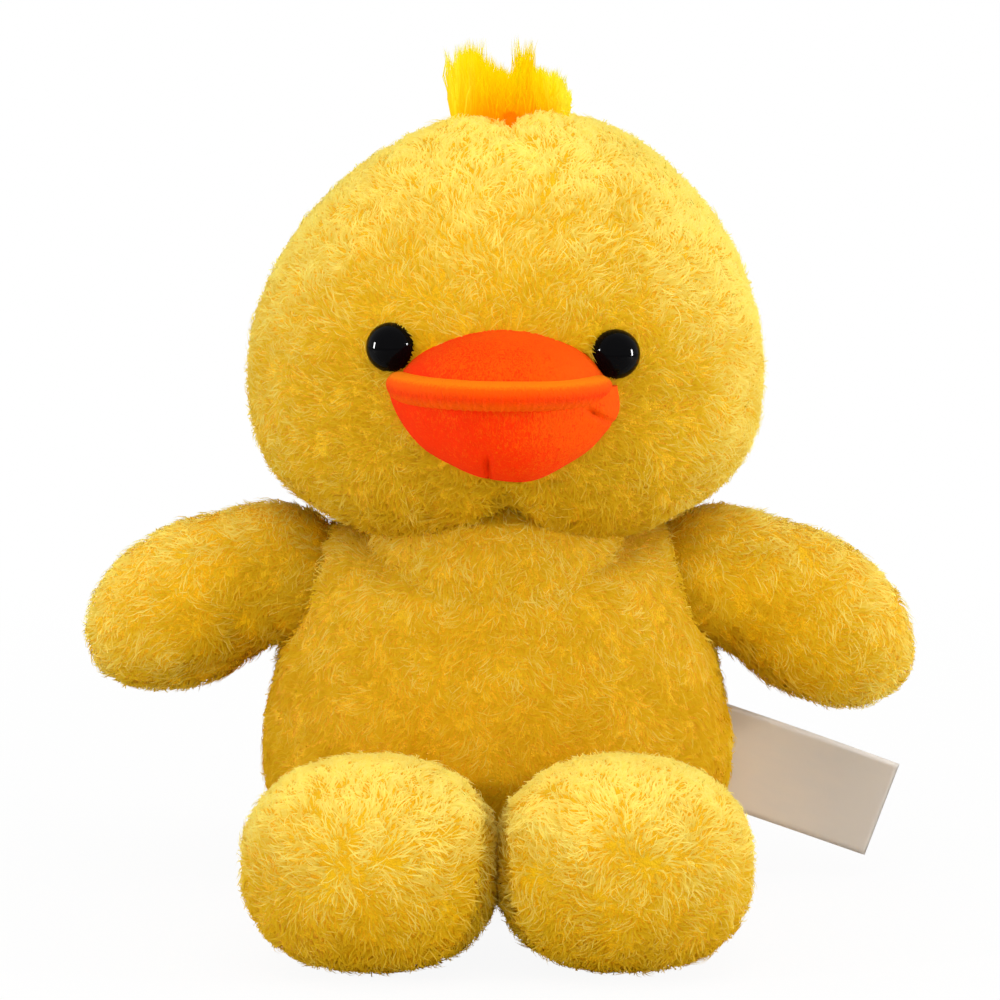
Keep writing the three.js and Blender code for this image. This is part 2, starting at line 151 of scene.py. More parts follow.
# each of these starts below or above a height and grows to the whole over a second length
CHIN_TUCK = dict(depth=0.008, width=0.008, below=0.150, over=0.022)
CHEEK_LOBE = dict(aside=0.036, spread=0.020, drop=0.0035, below=0.165, over=0.03)
CROWN_DIP = dict(depth=0.003, above=0.235, over=0.02)
FACE_ROUND = 0.03  # how far the tuck and the cheeks reach round the head
UNEVEN = dict(share=0.008, size=0.045)  # swellings that hand stuffing leaves
PILE_DEPTH = 0.0015  # the skin lies this far inside the outline, and the pile fills the rest
SWELL_ROOM = 0.0015  # and starts this much smaller, because the stuffing swells it
VOXEL = 0.005


def power_of(value, exponent):
    return np.sign(value) * np.abs(value) ** exponent


def bag(name, shape):
    """A round bag: shape moves the points of a unit ball to where they belong."""
    bpy.ops.object.select_all(action="DESELECT")
    bpy.ops.mesh.primitive_uv_sphere_add(segments=96, ring_count=64, radius=1)
    piece = bpy.context.object
    piece.name = name
    ball = np.empty(len(piece.data.vertices) * 3)
    piece.data.vertices.foreach_get("co", ball)
    piece.data.vertices.foreach_set("co", shape(ball.reshape(-1, 3)).ravel())
    piece.data.update()
    return piece


def points_of(piece):
    flat = np.empty(len(piece.data.vertices) * 3)
    piece.data.vertices.foreach_get("co", flat)
    return flat.reshape(-1, 3)


def move_points(piece, points):
    piece.data.vertices.foreach_set("co", points.ravel())
    piece.data.update()


def apply_all(piece):
    bpy.ops.object.select_all(action="DESELECT")
    piece.select_set(True)
    bpy.context.view_layer.objects.active = piece
    for modifier in list(piece.modifiers):
        bpy.ops.object.modifier_apply(modifier=modifier.name)


def stuff(piece, voxel, most, pressure=4):
    """Even quads, then cloth with air pressure, moved no further than most, then rounded."""
    bpy.ops.object.select_all(action="DESELECT")
    piece.select_set(True)
    bpy.context.view_layer.objects.active = piece
    piece.data.remesh_voxel_size = voxel
    bpy.ops.object.voxel_remesh()
    start = points_of(piece)
    cloth = piece.modifiers.new("stuffing", "CLOTH")
    cloth.settings.use_pressure = True
    cloth.settings.uniform_pressure_force = pressure
    cloth.settings.effector_weights.gravity = 0
    cloth.settings.quality = 4
    cloth.point_cache.frame_start = 1
    cloth.point_cache.frame_end = 20
    for step in range(1, 21):
        scene.frame_set(step)
    seen = piece.evaluated_get(bpy.context.evaluated_depsgraph_get())
    swollen = np.empty(len(seen.data.vertices) * 3)
    seen.data.vertices.foreach_get("co", swollen)
    piece.modifiers.remove(cloth)
    scene.frame_set(1)
    move = swollen.reshape(-1, 3) - start
    reach = np.linalg.norm(move, axis=1, keepdims=True)
    move_points(piece, start + move * np.minimum(1, most / np.maximum(reach, 1e-9)))
    piece.modifiers.new("evened", "SMOOTH").iterations = 2
    rounder = piece.modifiers.new("rounded", "SUBSURF")
    rounder.levels = rounder.render_levels = 1
    apply_all(piece)
    bpy.ops.object.shade_smooth()


def waves(points, size, count, seed):
    """A smooth random value at each point, about -1 to 1, that changes over size."""
    draw = np.random.default_rng(seed)
    total = np.zeros(len(points))
    for _ in range(count):
        way = draw.normal(size=3)
        way *= 2 * math.pi / (size * draw.uniform(0.7, 1.5)) / np.linalg.norm(way)
        total += np.sin(points @ way + draw.uniform(0, 2 * math.pi))
    return total / math.sqrt(2 * count)


def head_shape(ball, inset=PILE_DEPTH + SWELL_ROOM):
    level, exponent = ball[:, 2], np.where(ball[:, 2] > 0, 2 / HEAD["upper"], 2 / HEAD["lower"])
    ring = np.hypot(ball[:, 0], ball[:, 1])
    turn = np.arctan2(ball[:, 1], ball[:, 0])
    spread = ring ** exponent
    out = power_of(np.cos(turn), 2 / HEAD["plan"]) * spread * (HEAD["out"] - inset)
    back = power_of(np.sin(turn), 2 / HEAD["plan"]) * spread * (HEAD["back"] - inset)
    height = power_of(level, exponent)
    height = height * np.where(level > 0, HEAD["rise"] - inset, HEAD["drop"] - inset)
    lean = height / HEAD["rise"]
    return np.column_stack([
        HEAD_MIDDLE.x + HEAD_LEAN * lean * np.abs(lean) + out,
        HEAD_MIDDLE.y + back,
        HEAD_MIDDLE.z + height,
    ])


head = bag("head_plush", head_shape)
stuff(head, VOXEL, SWELL_ROOM * 2)
points = points_of(head)
near_middle = np.exp(-(((points[:, 0] - HEAD_MIDDLE.x) / CHIN_TUCK["width"]) ** 2))
in_front = np.clip(-points[:, 1] / FACE_ROUND, 0, 1)
chin = near_middle * np.clip((CHIN_TUCK["below"] - points[:, 2]) / CHIN_TUCK["over"], 0, 1)
chin *= in_front
crown = near_middle * np.clip((points[:, 2] - CROWN_DIP["above"]) / CROWN_DIP["over"], 0, 1)
aside = np.abs(points[:, 0] - HEAD_MIDDLE.x)
cheek = np.exp(-(((aside - CHEEK_LOBE["aside"]) / CHEEK_LOBE["spread"]) ** 2))
cheek *= np.clip((CHEEK_LOBE["below"] - points[:, 2]) / CHEEK_LOBE["over"], 0, 1) * in_front
points[:, 2] -= CHEEK_LOBE["drop"] * cheek
points[:, 1] += CHIN_TUCK["depth"] * chin
points[:, 2] += 0.5 * CHIN_TUCK["depth"] * chin - CROWN_DIP["depth"] * crown
uneven = UNEVEN["share"] * waves(points, UNEVEN["size"], 8, 3)
points += (points - np.array(HEAD_MIDDLE)) * uneven[:, None]
move_points(head, points)

# pile colours by tone, from deep gold (0) to pale lemon (1), at the roots and at the tips: the
# darker, more orange roots are painted shade deep in the pile, over the plush's own yellow
PLUSH_SHADED_ROOTS = [(0.0, (0.71, 0.38, 0.001)), (0.5, (0.83, 0.54, 0.003)), (1.0, (0.96, 0.82, 0.11))]
PLUSH_TIPS = [(0.0, (0.74, 0.46, 0.002)), (0.5, (0.85, 0.64, 0.030)), (1.0, (0.97, 0.95, 0.38))]
BACKING_DARK, BACKING_LIGHT = (0.80, 0.43, 0.002), (0.84, 0.52, 0.006)
PILE_GLOW = 0.4  # share of the light that passes through a lock


def ramp_of(nodes, stops):
    ramp = add_node(nodes, "ValToRGB")
    while len(ramp.color_ramp.elements) < len(stops):
        ramp.color_ramp.elements.new(0.5)
    for element, (place, colour) in zip(ramp.color_ramp.elements, stops):
        element.position = place
        element.color = (*colour, 1)
    return ramp


def pile_material(name, roots, tips):
    """Pile whose colour runs from root to tip, with a tone of its own for each lock. On the plush
    the darker roots are painted shade deep in the pile. The map OFBake holds the tone across and
    the place along the lock upwards."""
    material = bpy.data.materials.new(name)
    material.use_nodes = True
    nodes, links = material.node_tree.nodes, material.node_tree.links
    shader = nodes["Principled BSDF"]
    shader.inputs["Roughness"].default_value = 0.9
    shader.inputs["Specular IOR Level"].default_value = 0.01
    chart = add_node(nodes, "UVMap", uv_map="OFBake")
    split = add_node(nodes, "SeparateXYZ")
    low, high = ramp_of(nodes, roots), ramp_of(nodes, tips)
    blend = add_node(nodes, "Mix", data_type="RGBA")
    for source, target in (
        (chart.outputs[0], split.inputs[0]),
        (split.outputs[0], low.inputs[0]),
        (split.outputs[0], high.inputs[0]),
        (split.outputs[1], blend.inputs["Factor"]),
        (low.outputs[0], blend.inputs[6]),
        (high.outputs[0], blend.inputs[7]),
        (blend.outputs[2], shader.inputs["Base Color"]),
    ):
        links.new(source, target)
    glow = add_node(nodes, "BsdfTranslucent")
    soft = add_node(nodes, "MixShader", {0: PILE_GLOW})
    for source, target in (
        (blend.outputs[2], glow.inputs["Color"]),
        (shader.outputs[0], soft.inputs[1]),
        (glow.outputs[0], soft.inputs[2]),
        (soft.outputs[0], nodes["Material Output"].inputs["Surface"]),
    ):
        links.new(source, target)
    return material


def skin_material(name, dark, light):
    """The knitted backing between the locks, mottled, with the roots of the pile as bumps."""
    material = bpy.data.materials.new(name)
    material.use_nodes = True
    nodes, links = material.node_tree.nodes, material.node_tree.links
    shader = nodes["Principled BSDF"]
    shader.inputs["Roughness"].default_value = 0.95
    shader.inputs["Specular IOR Level"].default_value = 0.1
    place = add_node(nodes, "TexCoord")
    mottle, roots = nodes.new("ShaderNodeTexNoise"), nodes.new("ShaderNodeTexNoise")
    mottle.inputs["Scale"].default_value = 160
    roots.inputs["Scale"].default_value = 1400
    tint = ramp_of(nodes, [(0.3, dark), (0.7, light)])
    bump = add_node(nodes, "Bump", {"Distance": 0.0006})
    for texture in (mottle, roots):
        links.new(place.outputs["Object"], texture.inputs["Vector"])
    for source, target in (
        (mottle.outputs["Fac"], tint.inputs[0]),
        (tint.outputs[0], shader.inputs["Base Color"]),
        (roots.outputs["Fac"], bump.inputs["Height"]),
        (bump.outputs[0], shader.inputs["Normal"]),
    ):
        links.new(source, target)
    return material


plush = pile_material("plush_pile", PLUSH_SHADED_ROOTS, PLUSH_TIPS)
backing = skin_material("plush_backing", BACKING_DARK, BACKING_LIGHT)
head.data.materials.append(backing)

UNDERCOAT = dict(length=0.0050, radius=0.00036, lift=0.38, bends=1, share=0.85, tone=-0.04)
TOPCOAT = dict(length=0.0066, radius=0.00018, lift=0.36, bends=2, share=0.31, tone=0.18)
BACK = dict(start=0.01, over=0.02, fewer=0.35, thicker=0.3)  # the pile is sparser behind
CLUMP = dict(locks=14, pull=0.45, gather=0.5)  # one lock in so many leads its neighbours
SWIRL = dict(wide=0.016, far=1.1, fine=0.007, near=0.7)  # how the combing wanders
ROOT_SINK = 0.0008
LOCK_SECTION = ((-1, 0), (0, 0.45), (1, 0))  # across and outwards, in radii: a low roof
PIECE_LIMIT = 190000  # triangles of one piece of pile
FLOOR_CLEAR = 0.0002


def unit(vectors):
    return vectors / np.maximum(np.linalg.norm(vectors, axis=1, keepdims=True), 1e-9)


def lock_points(root, normal, way, side, length, coat, draw):
    """Centreline of each lock: a root under the skin, its bends, and a tip that bends over."""
    lift = np.clip(coat["lift"] + draw.normal(0, 0.09, len(root)), 0.15, 0.95)[:, None]
    curl = draw.normal(0, 0.9, len(root))[:, None]
    line = [root - normal * ROOT_SINK]
    place = root
    for bend in range(1, coat["bends"] + 2):
        share = bend / (coat["bends"] + 1)
        turn = curl * share
        across = way * np.cos(turn) + side * np.sin(turn)
        up = lift * (1.25 - 1.05 * share)
        place = place + unit(across * (1 - up) + normal * up) * length / (coat["bends"] + 1)
        line.append(place)
    return line


def grow_pile(name, skin, body, comb, tone, seed, bare):
    """Locks of pile all over a skin, as thin curved spindles, in clumps that share a tip."""
    draw = np.random.default_rng(seed)
    mesh = skin.data
    mesh.calc_loop_triangles()
    corners = np.empty(len(mesh.loop_triangles) * 3, dtype=np.int32)
    mesh.loop_triangles.foreach_get("vertices", corners)
    corners = corners.reshape(-1, 3)
    places = points_of(skin)
    normals = np.empty(len(places) * 3)
    mesh.vertices.foreach_get("normal", normals)
    normals = normals.reshape(-1, 3)
    a, b, c = (places[corners[:, k]] for k in range(3))
    area = np.linalg.norm(np.cross(b - a, c - a), axis=1) / 2
    area *= 1 - BACK["fewer"] * np.clip((a[:, 1] - BACK["start"]) / BACK["over"], 0, 1)
    lines, radii, tones, outwards_of = [], [], [], []
    for coat in (UNDERCOAT, TOPCOAT):
        count = int(area.sum() * 1e6 * coat["share"])
        pick = draw.choice(len(area), count, p=area / area.sum())
        u, v = draw.random(count), draw.random(count)
        fold = u + v > 1
        u[fold], v[fold] = 1 - u[fold], 1 - v[fold]
        w = np.column_stack([1 - u - v, u, v])
        root = sum(places[corners[pick, k]] * w[:, k:k + 1] for k in range(3))
        normal = unit(sum(normals[corners[pick, k]] * w[:, k:k + 1] for k in range(3)))
        keep = ~bare(root)
        root, normal = root[keep], normal[keep]
        way = comb(root, normal)
        way = unit(way - normal * (way * normal).sum(1, keepdims=True))
        side = np.cross(normal, way)
        turn = SWIRL["far"] * waves(root, SWIRL["wide"], 10, seed + 1)
        turn += SWIRL["near"] * waves(root, SWIRL["fine"], 10, seed + 2)
        turn += draw.normal(0, 0.35, len(root))
        way, side = (
            way * np.cos(turn)[:, None] + side * np.sin(turn)[:, None],
            side * np.cos(turn)[:, None] - way * np.sin(turn)[:, None],
        )
        length = coat["length"] * draw.uniform(0.7, 1.25, len(root))[:, None]
        line = lock_points(root, normal, way, side, length, coat, draw)
        clumps = kdtree.KDTree(len(root) // CLUMP["locks"] + 1)
        for index in range(0, len(root), CLUMP["locks"]):
            clumps.insert(root[index], index)
        clumps.balance()
        leader = np.fromiter((clumps.find(place)[1] for place in root), dtype=np.int64)
        for step in range(1, len(line)):
            pull = CLUMP["pull"] * (step / (len(line) - 1)) ** 1.5
            offset = line[step][leader] - root[leader] + (root[leader] - root) * CLUMP["gather"]
            line[step] = line[step] * (1 - pull) + (root + offset) * pull
        lines.append(line)
        # each lock's tone is its piece's painted light and shade, the coat's offset, and a tone
        # that differs at random from lock to lock
        lock_tone = tone(root, normal) + coat["tone"] + draw.normal(0, 0.06, len(root))
        lock_tone += 0.08 * waves(root, 0.02, 8, seed + 5)
        tones.append(np.clip(lock_tone, 0.03, 0.97))
        behind = np.clip((root[:, 1] - BACK["start"]) / BACK["over"], 0, 1)
        thicker = 1 + BACK["thicker"] * behind
        radii.append(coat["radius"] * thicker * draw.uniform(0.75, 1.25, len(root)))
        outwards_of.append(normal)
    make_locks(name, body, plush, lines, radii, tones, outwards_of, draw)


def make_locks(name, body, material, lines, radii, tones, outwards_of, draw):
    """Turns centrelines into closed slivers and splits them into pieces by their bearing. Each
    is shaded as the skin is, with its edges turned a little aside, as fine fibre looks."""
    all_points, all_faces, all_charts, all_shades, bearings = [], [], [], [], []
    for line, radius, tone, outward in zip(lines, radii, tones, outwards_of):
        count, steps = len(line[0]), len(line)
        along = unit(line[-1] - line[0])
        helper = unit(np.cross(along, outward) + draw.normal(0, 0.25, (count, 3)))
        other = np.cross(helper, along)
        stack = [line[0]]
        chart = [np.column_stack([tone, np.full(count, 0.02)])]
        shade = [outward]
        for step in range(1, steps - 1):
            share = step / (steps - 1)
            thick = radius[:, None] * (1 - 0.45 * (share - 0.4) * (share > 0.4) * 2)
            for corner, (aside, up) in enumerate(LOCK_SECTION):
                stack.append(line[step] + (helper * aside + other * up) * thick)
                chart.append(np.column_stack([tone + 0.01 * (corner - 1), np.full(count, share)]))
                shade.append(unit(outward + helper * aside * 0.16 + other * 0.12))
        stack.append(line[-1])
        chart.append(np.column_stack([tone, np.full(count, 0.98)]))
        shade.append(outward)
        points = np.stack(stack, axis=1)
        points[:, :, 2] = np.maximum(points[:, :, 2], FLOOR_CLEAR)
        faces = []
        for corner in range(3):
            after = (corner + 1) % 3
            faces.append((0, 1 + after, 1 + corner))
            for ring in range(steps - 3):
                low, high = 1 + ring * 3, 1 + (ring + 1) * 3
                faces.append((low + corner, low + after, high + after))
                faces.append((low + corner, high + after, high + corner))
            top = 1 + (steps - 3) * 3
            faces.append((top + corner, top + after, 1 + (steps - 2) * 3))
        each = points.shape[1]
        index = np.array(faces)[None] + (np.arange(count) * each)[:, None, None]
        all_points.append(points)
        all_faces.append(index)
        all_charts.append(np.stack(chart, axis=1))
        shades = np.stack(shade, axis=1)[:, np.array(faces)]
        first, second, third = (points[:, np.array(faces)[:, k]] for k in range(3))
        facing = np.cross(second - first, third - first)
        facing /= np.maximum(np.linalg.norm(facing, axis=2, keepdims=True), 1e-12)
        away = (facing * outward[:, None]).sum(2) < 0.1
        shades[away] = facing[away][:, None]
        all_shades.append(shades)
        bearings.append(np.arctan2(line[0][:, 1], line[0][:, 0]))
    triangles = sum(len(index) * index.shape[1] for index in all_faces)
    parts = max(1, math.ceil(triangles / PIECE_LIMIT))
    cuts = np.quantile(np.concatenate(bearings), np.linspace(0, 1, parts + 1))
    cuts[0], cuts[-1] = -9, 9
    for part in range(parts):
        co, tri, uv, out, base = [], [], [], [], 0
        for points, index, chart, shade, bearing in zip(
            all_points, all_faces, all_charts, all_shades, bearings
        ):
            mine = np.flatnonzero((bearing > cuts[part]) & (bearing <= cuts[part + 1]))
            each = points.shape[1]
            moved = (np.arange(len(mine)) - mine) * each
            co.append(points[mine].reshape(-1, 3))
            tri.append((index[mine] + moved[:, None, None]).reshape(-1, 3) + base)
            uv.append(chart[mine].reshape(-1, 2))
            out.append(shade[mine].reshape(-1, 3))
            base += len(mine) * each
        co, tri, uv = np.concatenate(co), np.concatenate(tri), np.concatenate(uv)
        mesh = bpy.data.meshes.new(f"{name}_{part + 1}")
        mesh.vertices.add(len(co))
        mesh.vertices.foreach_set("co", co.ravel())
        mesh.loops.add(tri.size)
        mesh.loops.foreach_set("vertex_index", tri.ravel().astype(np.int32))
        mesh.polygons.add(len(tri))
        mesh.polygons.foreach_set("loop_start", np.arange(0, tri.size, 3, dtype=np.int32))
        mesh.update(calc_edges=True)
        mesh.shade_smooth()
        mesh.normals_split_custom_set(np.concatenate(out))
        layer = mesh.uv_layers.new(name="OFBake")
        layer.uv.foreach_set("vector", uv[tri.ravel()].ravel())
        mesh.materials.append(material)
        piece = bpy.data.objects.new(f"{name}_{part + 1}", mesh)
        scene.collection.objects.link(piece)
        piece.visible_shadow = False  # light soaks through pile, and the skin under it shades
        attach(piece, body)


FACE = Vector((0.0016, -0.085, 0.176))  # the middle of the mouth seam
EYE_RADIUS = 0.0078
EYES = {"left": Vector((0.0378, 0, 0.1854)), "right": Vector((-0.0344, 0, 0.1874))}
EYE_COVERS = 0.85  # share of an eye, and below of the beak, under which no pile grows
BEAK = dict(root=0.062, corner=0.0352, covers=0.72)
UPPER_BEAK = dict(out=0.0322, height=0.0176, pointed=1.75, forward=0.026)
LOWER_BEAK = dict(out=0.0350, height=0.0303, pointed=1.9, forward=0.0236, aside=0.0030)


EYE_WHORL = dict(reach=0.004, pull=1.3)  # the pile leans towards an eye close by it
# painted light and shade on the head's pile: paler to the crown and the lit sides, darker under the
# beak
HEAD_LIT_TONE = dict(middle=0.42, above=0.56, aside=0.30, left=0.12)
HEAD_LIT_AREA = dict(height=0.19, over=0.06, out=0.04, across=0.04)


def head_comb(root, normal):
    way = unit(root - np.array(FACE))
    for eye in EYES.values():
        off = np.column_stack([eye.x - root[:, 0], np.zeros(len(root)), eye.z - root[:, 2]])
        reach = np.linalg.norm(off, axis=1)
        near = np.exp(-((reach - EYE_RADIUS) / EYE_WHORL["reach"]) ** 2) * (root[:, 1] < 0)
        way = way + unit(off) * (EYE_WHORL["pull"] * near)[:, None]
    return way


def head_lit_tone(root, normal):
    """Painted light and shade: darker below the beak, in its shade, and paler to the crown and the
    sides, the left one most, as the light falls from above and from that side.
    """
    above = np.clip((root[:, 2] - HEAD_LIT_AREA["height"]) / HEAD_LIT_AREA["over"], -0.15, 1)
    aside = np.clip((np.abs(root[:, 0]) - HEAD_LIT_AREA["out"]) / HEAD_LIT_AREA["across"], 0, 1)
    sides = aside * (HEAD_LIT_TONE["aside"] + HEAD_LIT_TONE["left"] * (root[:, 0] > 0))
    return HEAD_LIT_TONE["middle"] + HEAD_LIT_TONE["above"] * above + sides


def face_bare(root):
    front = root[:, 1] < 0
    hidden = np.zeros(len(root), bool)
    for eye in EYES.values():
        reach = np.hypot(root[:, 0] - eye.x, root[:, 2] - eye.z)
        hidden |= front & (reach < EYE_RADIUS * EYE_COVERS)
    height = root[:, 2] - FACE.z
    tall = np.where(height > 0, UPPER_BEAK["height"], LOWER_BEAK["height"])
    beak = ((root[:, 0] - FACE.x) / BEAK["corner"]) ** 2 + (height / tall) ** 2
    return hidden | (front & (beak < BEAK["covers"]))


grow_pile("head_pile", head, "head", head_comb, head_lit_tone, 11, face_bare)
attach(head, "head")
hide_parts("head_cover", "head_stuffing")

# Body. A pear-shaped bag of the same plush, flat where it sits, with a hollow for the root of
# each limb and for the neck. Its pile is combed down from the chest.
BODY = dict(out=0.0795, back=0.060, widest=0.056, top=0.118, upper=6, lower=3, taper=0.18)
SHOULDER = dict(out=0.063, height=0.104, radius=0.021)
HIP = dict(out=0.0344, forward=0.041, height=0.0327, radius=0.026)
NECK = dict(height=0.112, radius=0.042)
SOCKET_GAP = 0.0006
NECK_FILL = 0.003  # the bag's top is pressed up against the head by the neck's seam
CHEST = Vector((0.001, -0.062, 0.100))
# the shoulders swell up into the crease under the cheeks
SHOULDER_HUMP = dict(aside=0.053, spread=0.015, deep=0.032, rise=0.0075, above=0.095, over=0.02)
SEAT_CLEAR = 0.0012


def body_shape(ball, inset=PILE_DEPTH + SWELL_ROOM):
    level, exponent = ball[:, 2], np.where(ball[:, 2] > 0, 2 / BODY["upper"], 2 / BODY["lower"])
    rise = BODY["top"] + NECK_FILL - BODY["widest"]
    drop = BODY["widest"] - inset
    height = power_of(level, exponent) * np.where(level > 0, rise, drop)
    spread = np.hypot(ball[:, 0], ball[:, 1]) ** exponent
    spread = spread * (1 - BODY["taper"] * np.clip(height / rise, 0, None))
    turn = np.arctan2(ball[:, 1], ball[:, 0])
    return np.column_stack([
        (BODY["out"] - inset) * spread * np.cos(turn),
        (BODY["back"] - inset) * spread * np.sin(turn),
        BODY["widest"] + height,
    ])


body = bag("body_plush", body_shape)
stuff(body, VOXEL, SWELL_ROOM * 2)
points = points_of(body)
uneven = UNEVEN["share"] * waves(points, UNEVEN["size"], 8, 5)
points += (points - np.array((0, 0, BODY["widest"]))) * uneven[:, None]
hump = np.exp(-(((np.abs(points[:, 0]) - SHOULDER_HUMP["aside"]) / SHOULDER_HUMP["spread"]) ** 2))
hump *= np.exp(-((points[:, 1] / SHOULDER_HUMP["deep"]) ** 2))
hump *= np.clip((points[:, 2] - SHOULDER_HUMP["above"]) / SHOULDER_HUMP["over"], 0, 1)
points[:, 2] = np.maximum(points[:, 2] + SHOULDER_HUMP["rise"] * hump, SEAT_CLEAR)
move_points(body, points)
hollows = [((0, 0, NECK["height"]), NECK["radius"])]
for side in (1, -1):
    hollows.append(((side * SHOULDER["out"], 0, SHOULDER["height"]), SHOULDER["radius"]))
    hollows.append(((side * HIP["out"], -HIP["forward"], HIP["height"]), HIP["radius"]))
for middle, radius in hollows:
    bpy.ops.object.select_all(action="DESELECT")
    bpy.ops.mesh.primitive_uv_sphere_add(
        segments=48, ring_count=24, radius=radius - PILE_DEPTH + SOCKET_GAP, location=middle
    )
    cutter = bpy.context.object
    cut = body.modifiers.new("hollow", "BOOLEAN")
    cut.operation = "DIFFERENCE"
    cut.object = cutter
    apply_all(body)
    bpy.data.objects.remove(cutter)
body.data.materials.clear()
body.data.materials.append(backing)
bpy.ops.object.shade_smooth()


# painted light and shade on the pile of the body and the neck: paler above, darker low down towards
# the seat, as the light falls from above
BODY_LIT_TONE = dict(middle=0.36, above=0.14, height=0.07, over=0.04)
HOLLOW_BARE = 0.0035  # no pile grows this deep in a hollow, nor on the seat
SEAT_BARE = 0.0025


def body_comb(root, normal):
    return unit(root - np.array(CHEST)) * 0.5 + np.array((0, 0, -0.8))


def body_lit_tone(root, normal):
    above = np.clip((root[:, 2] - BODY_LIT_TONE["height"]) / BODY_LIT_TONE["over"], -1, 1)
    return BODY_LIT_TONE["middle"] + BODY_LIT_TONE["above"] * above


def inside_hollow(root):
    hidden = np.zeros(len(root), bool)
    for middle, radius in hollows:
        hidden |= np.linalg.norm(root - np.array(middle), axis=1) < radius - HOLLOW_BARE
    return hidden | (root[:, 2] < SEAT_BARE)


grow_pile("body_pile", body, "body", body_comb, body_lit_tone, 21, inside_hollow)
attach(body, "body")
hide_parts("body_cover", "body_stuffing")

# Neck. The wad of stuffing that fills the opening between the two bags, in a sleeve of the
# same plush, which closes the crease when the head turns.
NECK_SLEEVE = dict(out=1.10, forward=1.14, ahead=0.0035, bare_below=0.106, bare_above=0.138)


def neck_shape(ball):
    shape = ball * (NECK["radius"] - PILE_DEPTH)
    shape *= np.array((NECK_SLEEVE["out"], NECK_SLEEVE["forward"], 1))
    return shape + np.array((0, -NECK_SLEEVE["ahead"], NECK["height"]))


neck = bag("neck_plush", neck_shape)
neck.data.materials.append(backing)
bpy.ops.object.shade_smooth()


def neck_comb(root, normal):
    return np.tile((0.0, 0.0, -1.0), (len(root), 1)) + 0.1


def neck_bare(root):
    return (root[:, 2] < NECK_SLEEVE["bare_below"]) | (root[:, 2] > NECK_SLEEVE["bare_above"])


grow_pile("neck_pile", neck, "neck", neck_comb, body_lit_tone, 31, neck_bare)
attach(neck, "neck")
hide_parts("neck_stuffing")

# Wings. Fat tapered pads that hang from the shoulders, sewn in at the seam between head and
# body. Each root is round about the shoulder, so that it turns in its hollow.
WING = dict(high=0.0285, deep=0.022, peak=0.5, roundness=2.2, section=2.0)
WING_LENGTH = {"left": 0.0805, "right": 0.0765}
WING_DROOP = {"left": (-6, 72), "right": (-10, 67)}  # degrees, from shoulder to tip
WING_HUMP = dict(rise=0.0075, out=0.004, spread=0.020, over=0.02)  # fullness at the shoulder
WING_VOXEL = 0.004
WING_COMB = np.array((0.055, 0, -0.050))  # towards the tip
# painted light and shade on the wings' pile: darker at the root, in the shade of the crease under
# the head, paler outwards, and paler where the pile faces up to the light
WING_LIT_TONE = dict(root=0.30, outwards=0.34, up=0.36, start=0.02, over=0.05)
WING_BARE = 0.014  # no pile grows on the root this far inside the hollow


def limb_shape(ball, size, radius, droop, inset):
    """A limb along +X from its pivot at zero: a round root, a swelling and a round end."""
    down = np.arccos(np.clip(-ball[:, 0], -1, 1)) / math.pi
    turn = np.arctan2(ball[:, 2], -ball[:, 1])
    cap, length = radius - inset, size["length"] - inset
    start, end = (math.radians(angle) for angle in droop)
    bend = (end - start) / size["length"]
    rooted = down < 0.25
    rising = np.clip((down - 0.25) / 0.25, 0, 1)
    ending = np.clip((down - 0.5) / 0.5, 0, 1)
    share = size["peak"] * rising + (1 - size["peak"]) * np.sin(ending * math.pi / 2)
    swing = (math.pi / 2) * np.clip(down / 0.25, 0, 1)
    along = np.where(rooted, -cap * np.cos(swing), length * share)

    def swell(most):
        part = np.clip(share / size["peak"], 0, 1)
        grown = cap + (most - inset - cap) * part * part * (3 - 2 * part)
        rest = np.clip((share - size["peak"]) / (1 - size["peak"]), 0, 1)
        closing = (most - inset) * (1 - rest ** size["roundness"]) ** (1 / size["roundness"])
        return np.where(rooted, cap * np.sin(swing), np.where(share < size["peak"], grown, closing))

    part = np.clip(share / size["peak"], 0, 1)
    section = 2 + (size["section"] - 2) * np.where(rooted, 0, part * part * (3 - 2 * part))
    up = swell(size["high"]) * power_of(np.sin(turn), 2 / section)
    across = -swell(size["deep"]) * power_of(np.cos(turn), 2 / section)
    angle = start + bend * np.maximum(0, along)
    straight = np.minimum(0, along)
    if bend:
        arc_x = (np.sin(angle) - math.sin(start)) / bend
        arc_z = (np.cos(angle) - math.cos(start)) / bend
    else:
        arc_x, arc_z = np.maximum(0, along), np.zeros(len(ball))
    return np.column_stack([
        arc_x + straight * math.cos(start) + up * np.sin(angle),
        across,
        arc_z - straight * math.sin(start) + up * np.cos(angle),
    ])


def outwards(piece):
    """Turns the faces of a mirrored shape outwards again."""
    bpy.ops.object.select_all(action="DESELECT")
    piece.select_set(True)
    bpy.context.view_layer.objects.active = piece
    bpy.ops.object.mode_set(mode="EDIT")
    bpy.ops.mesh.select_all(action="SELECT")
    bpy.ops.mesh.normals_make_consistent(inside=False)
    bpy.ops.object.mode_set(mode="OBJECT")


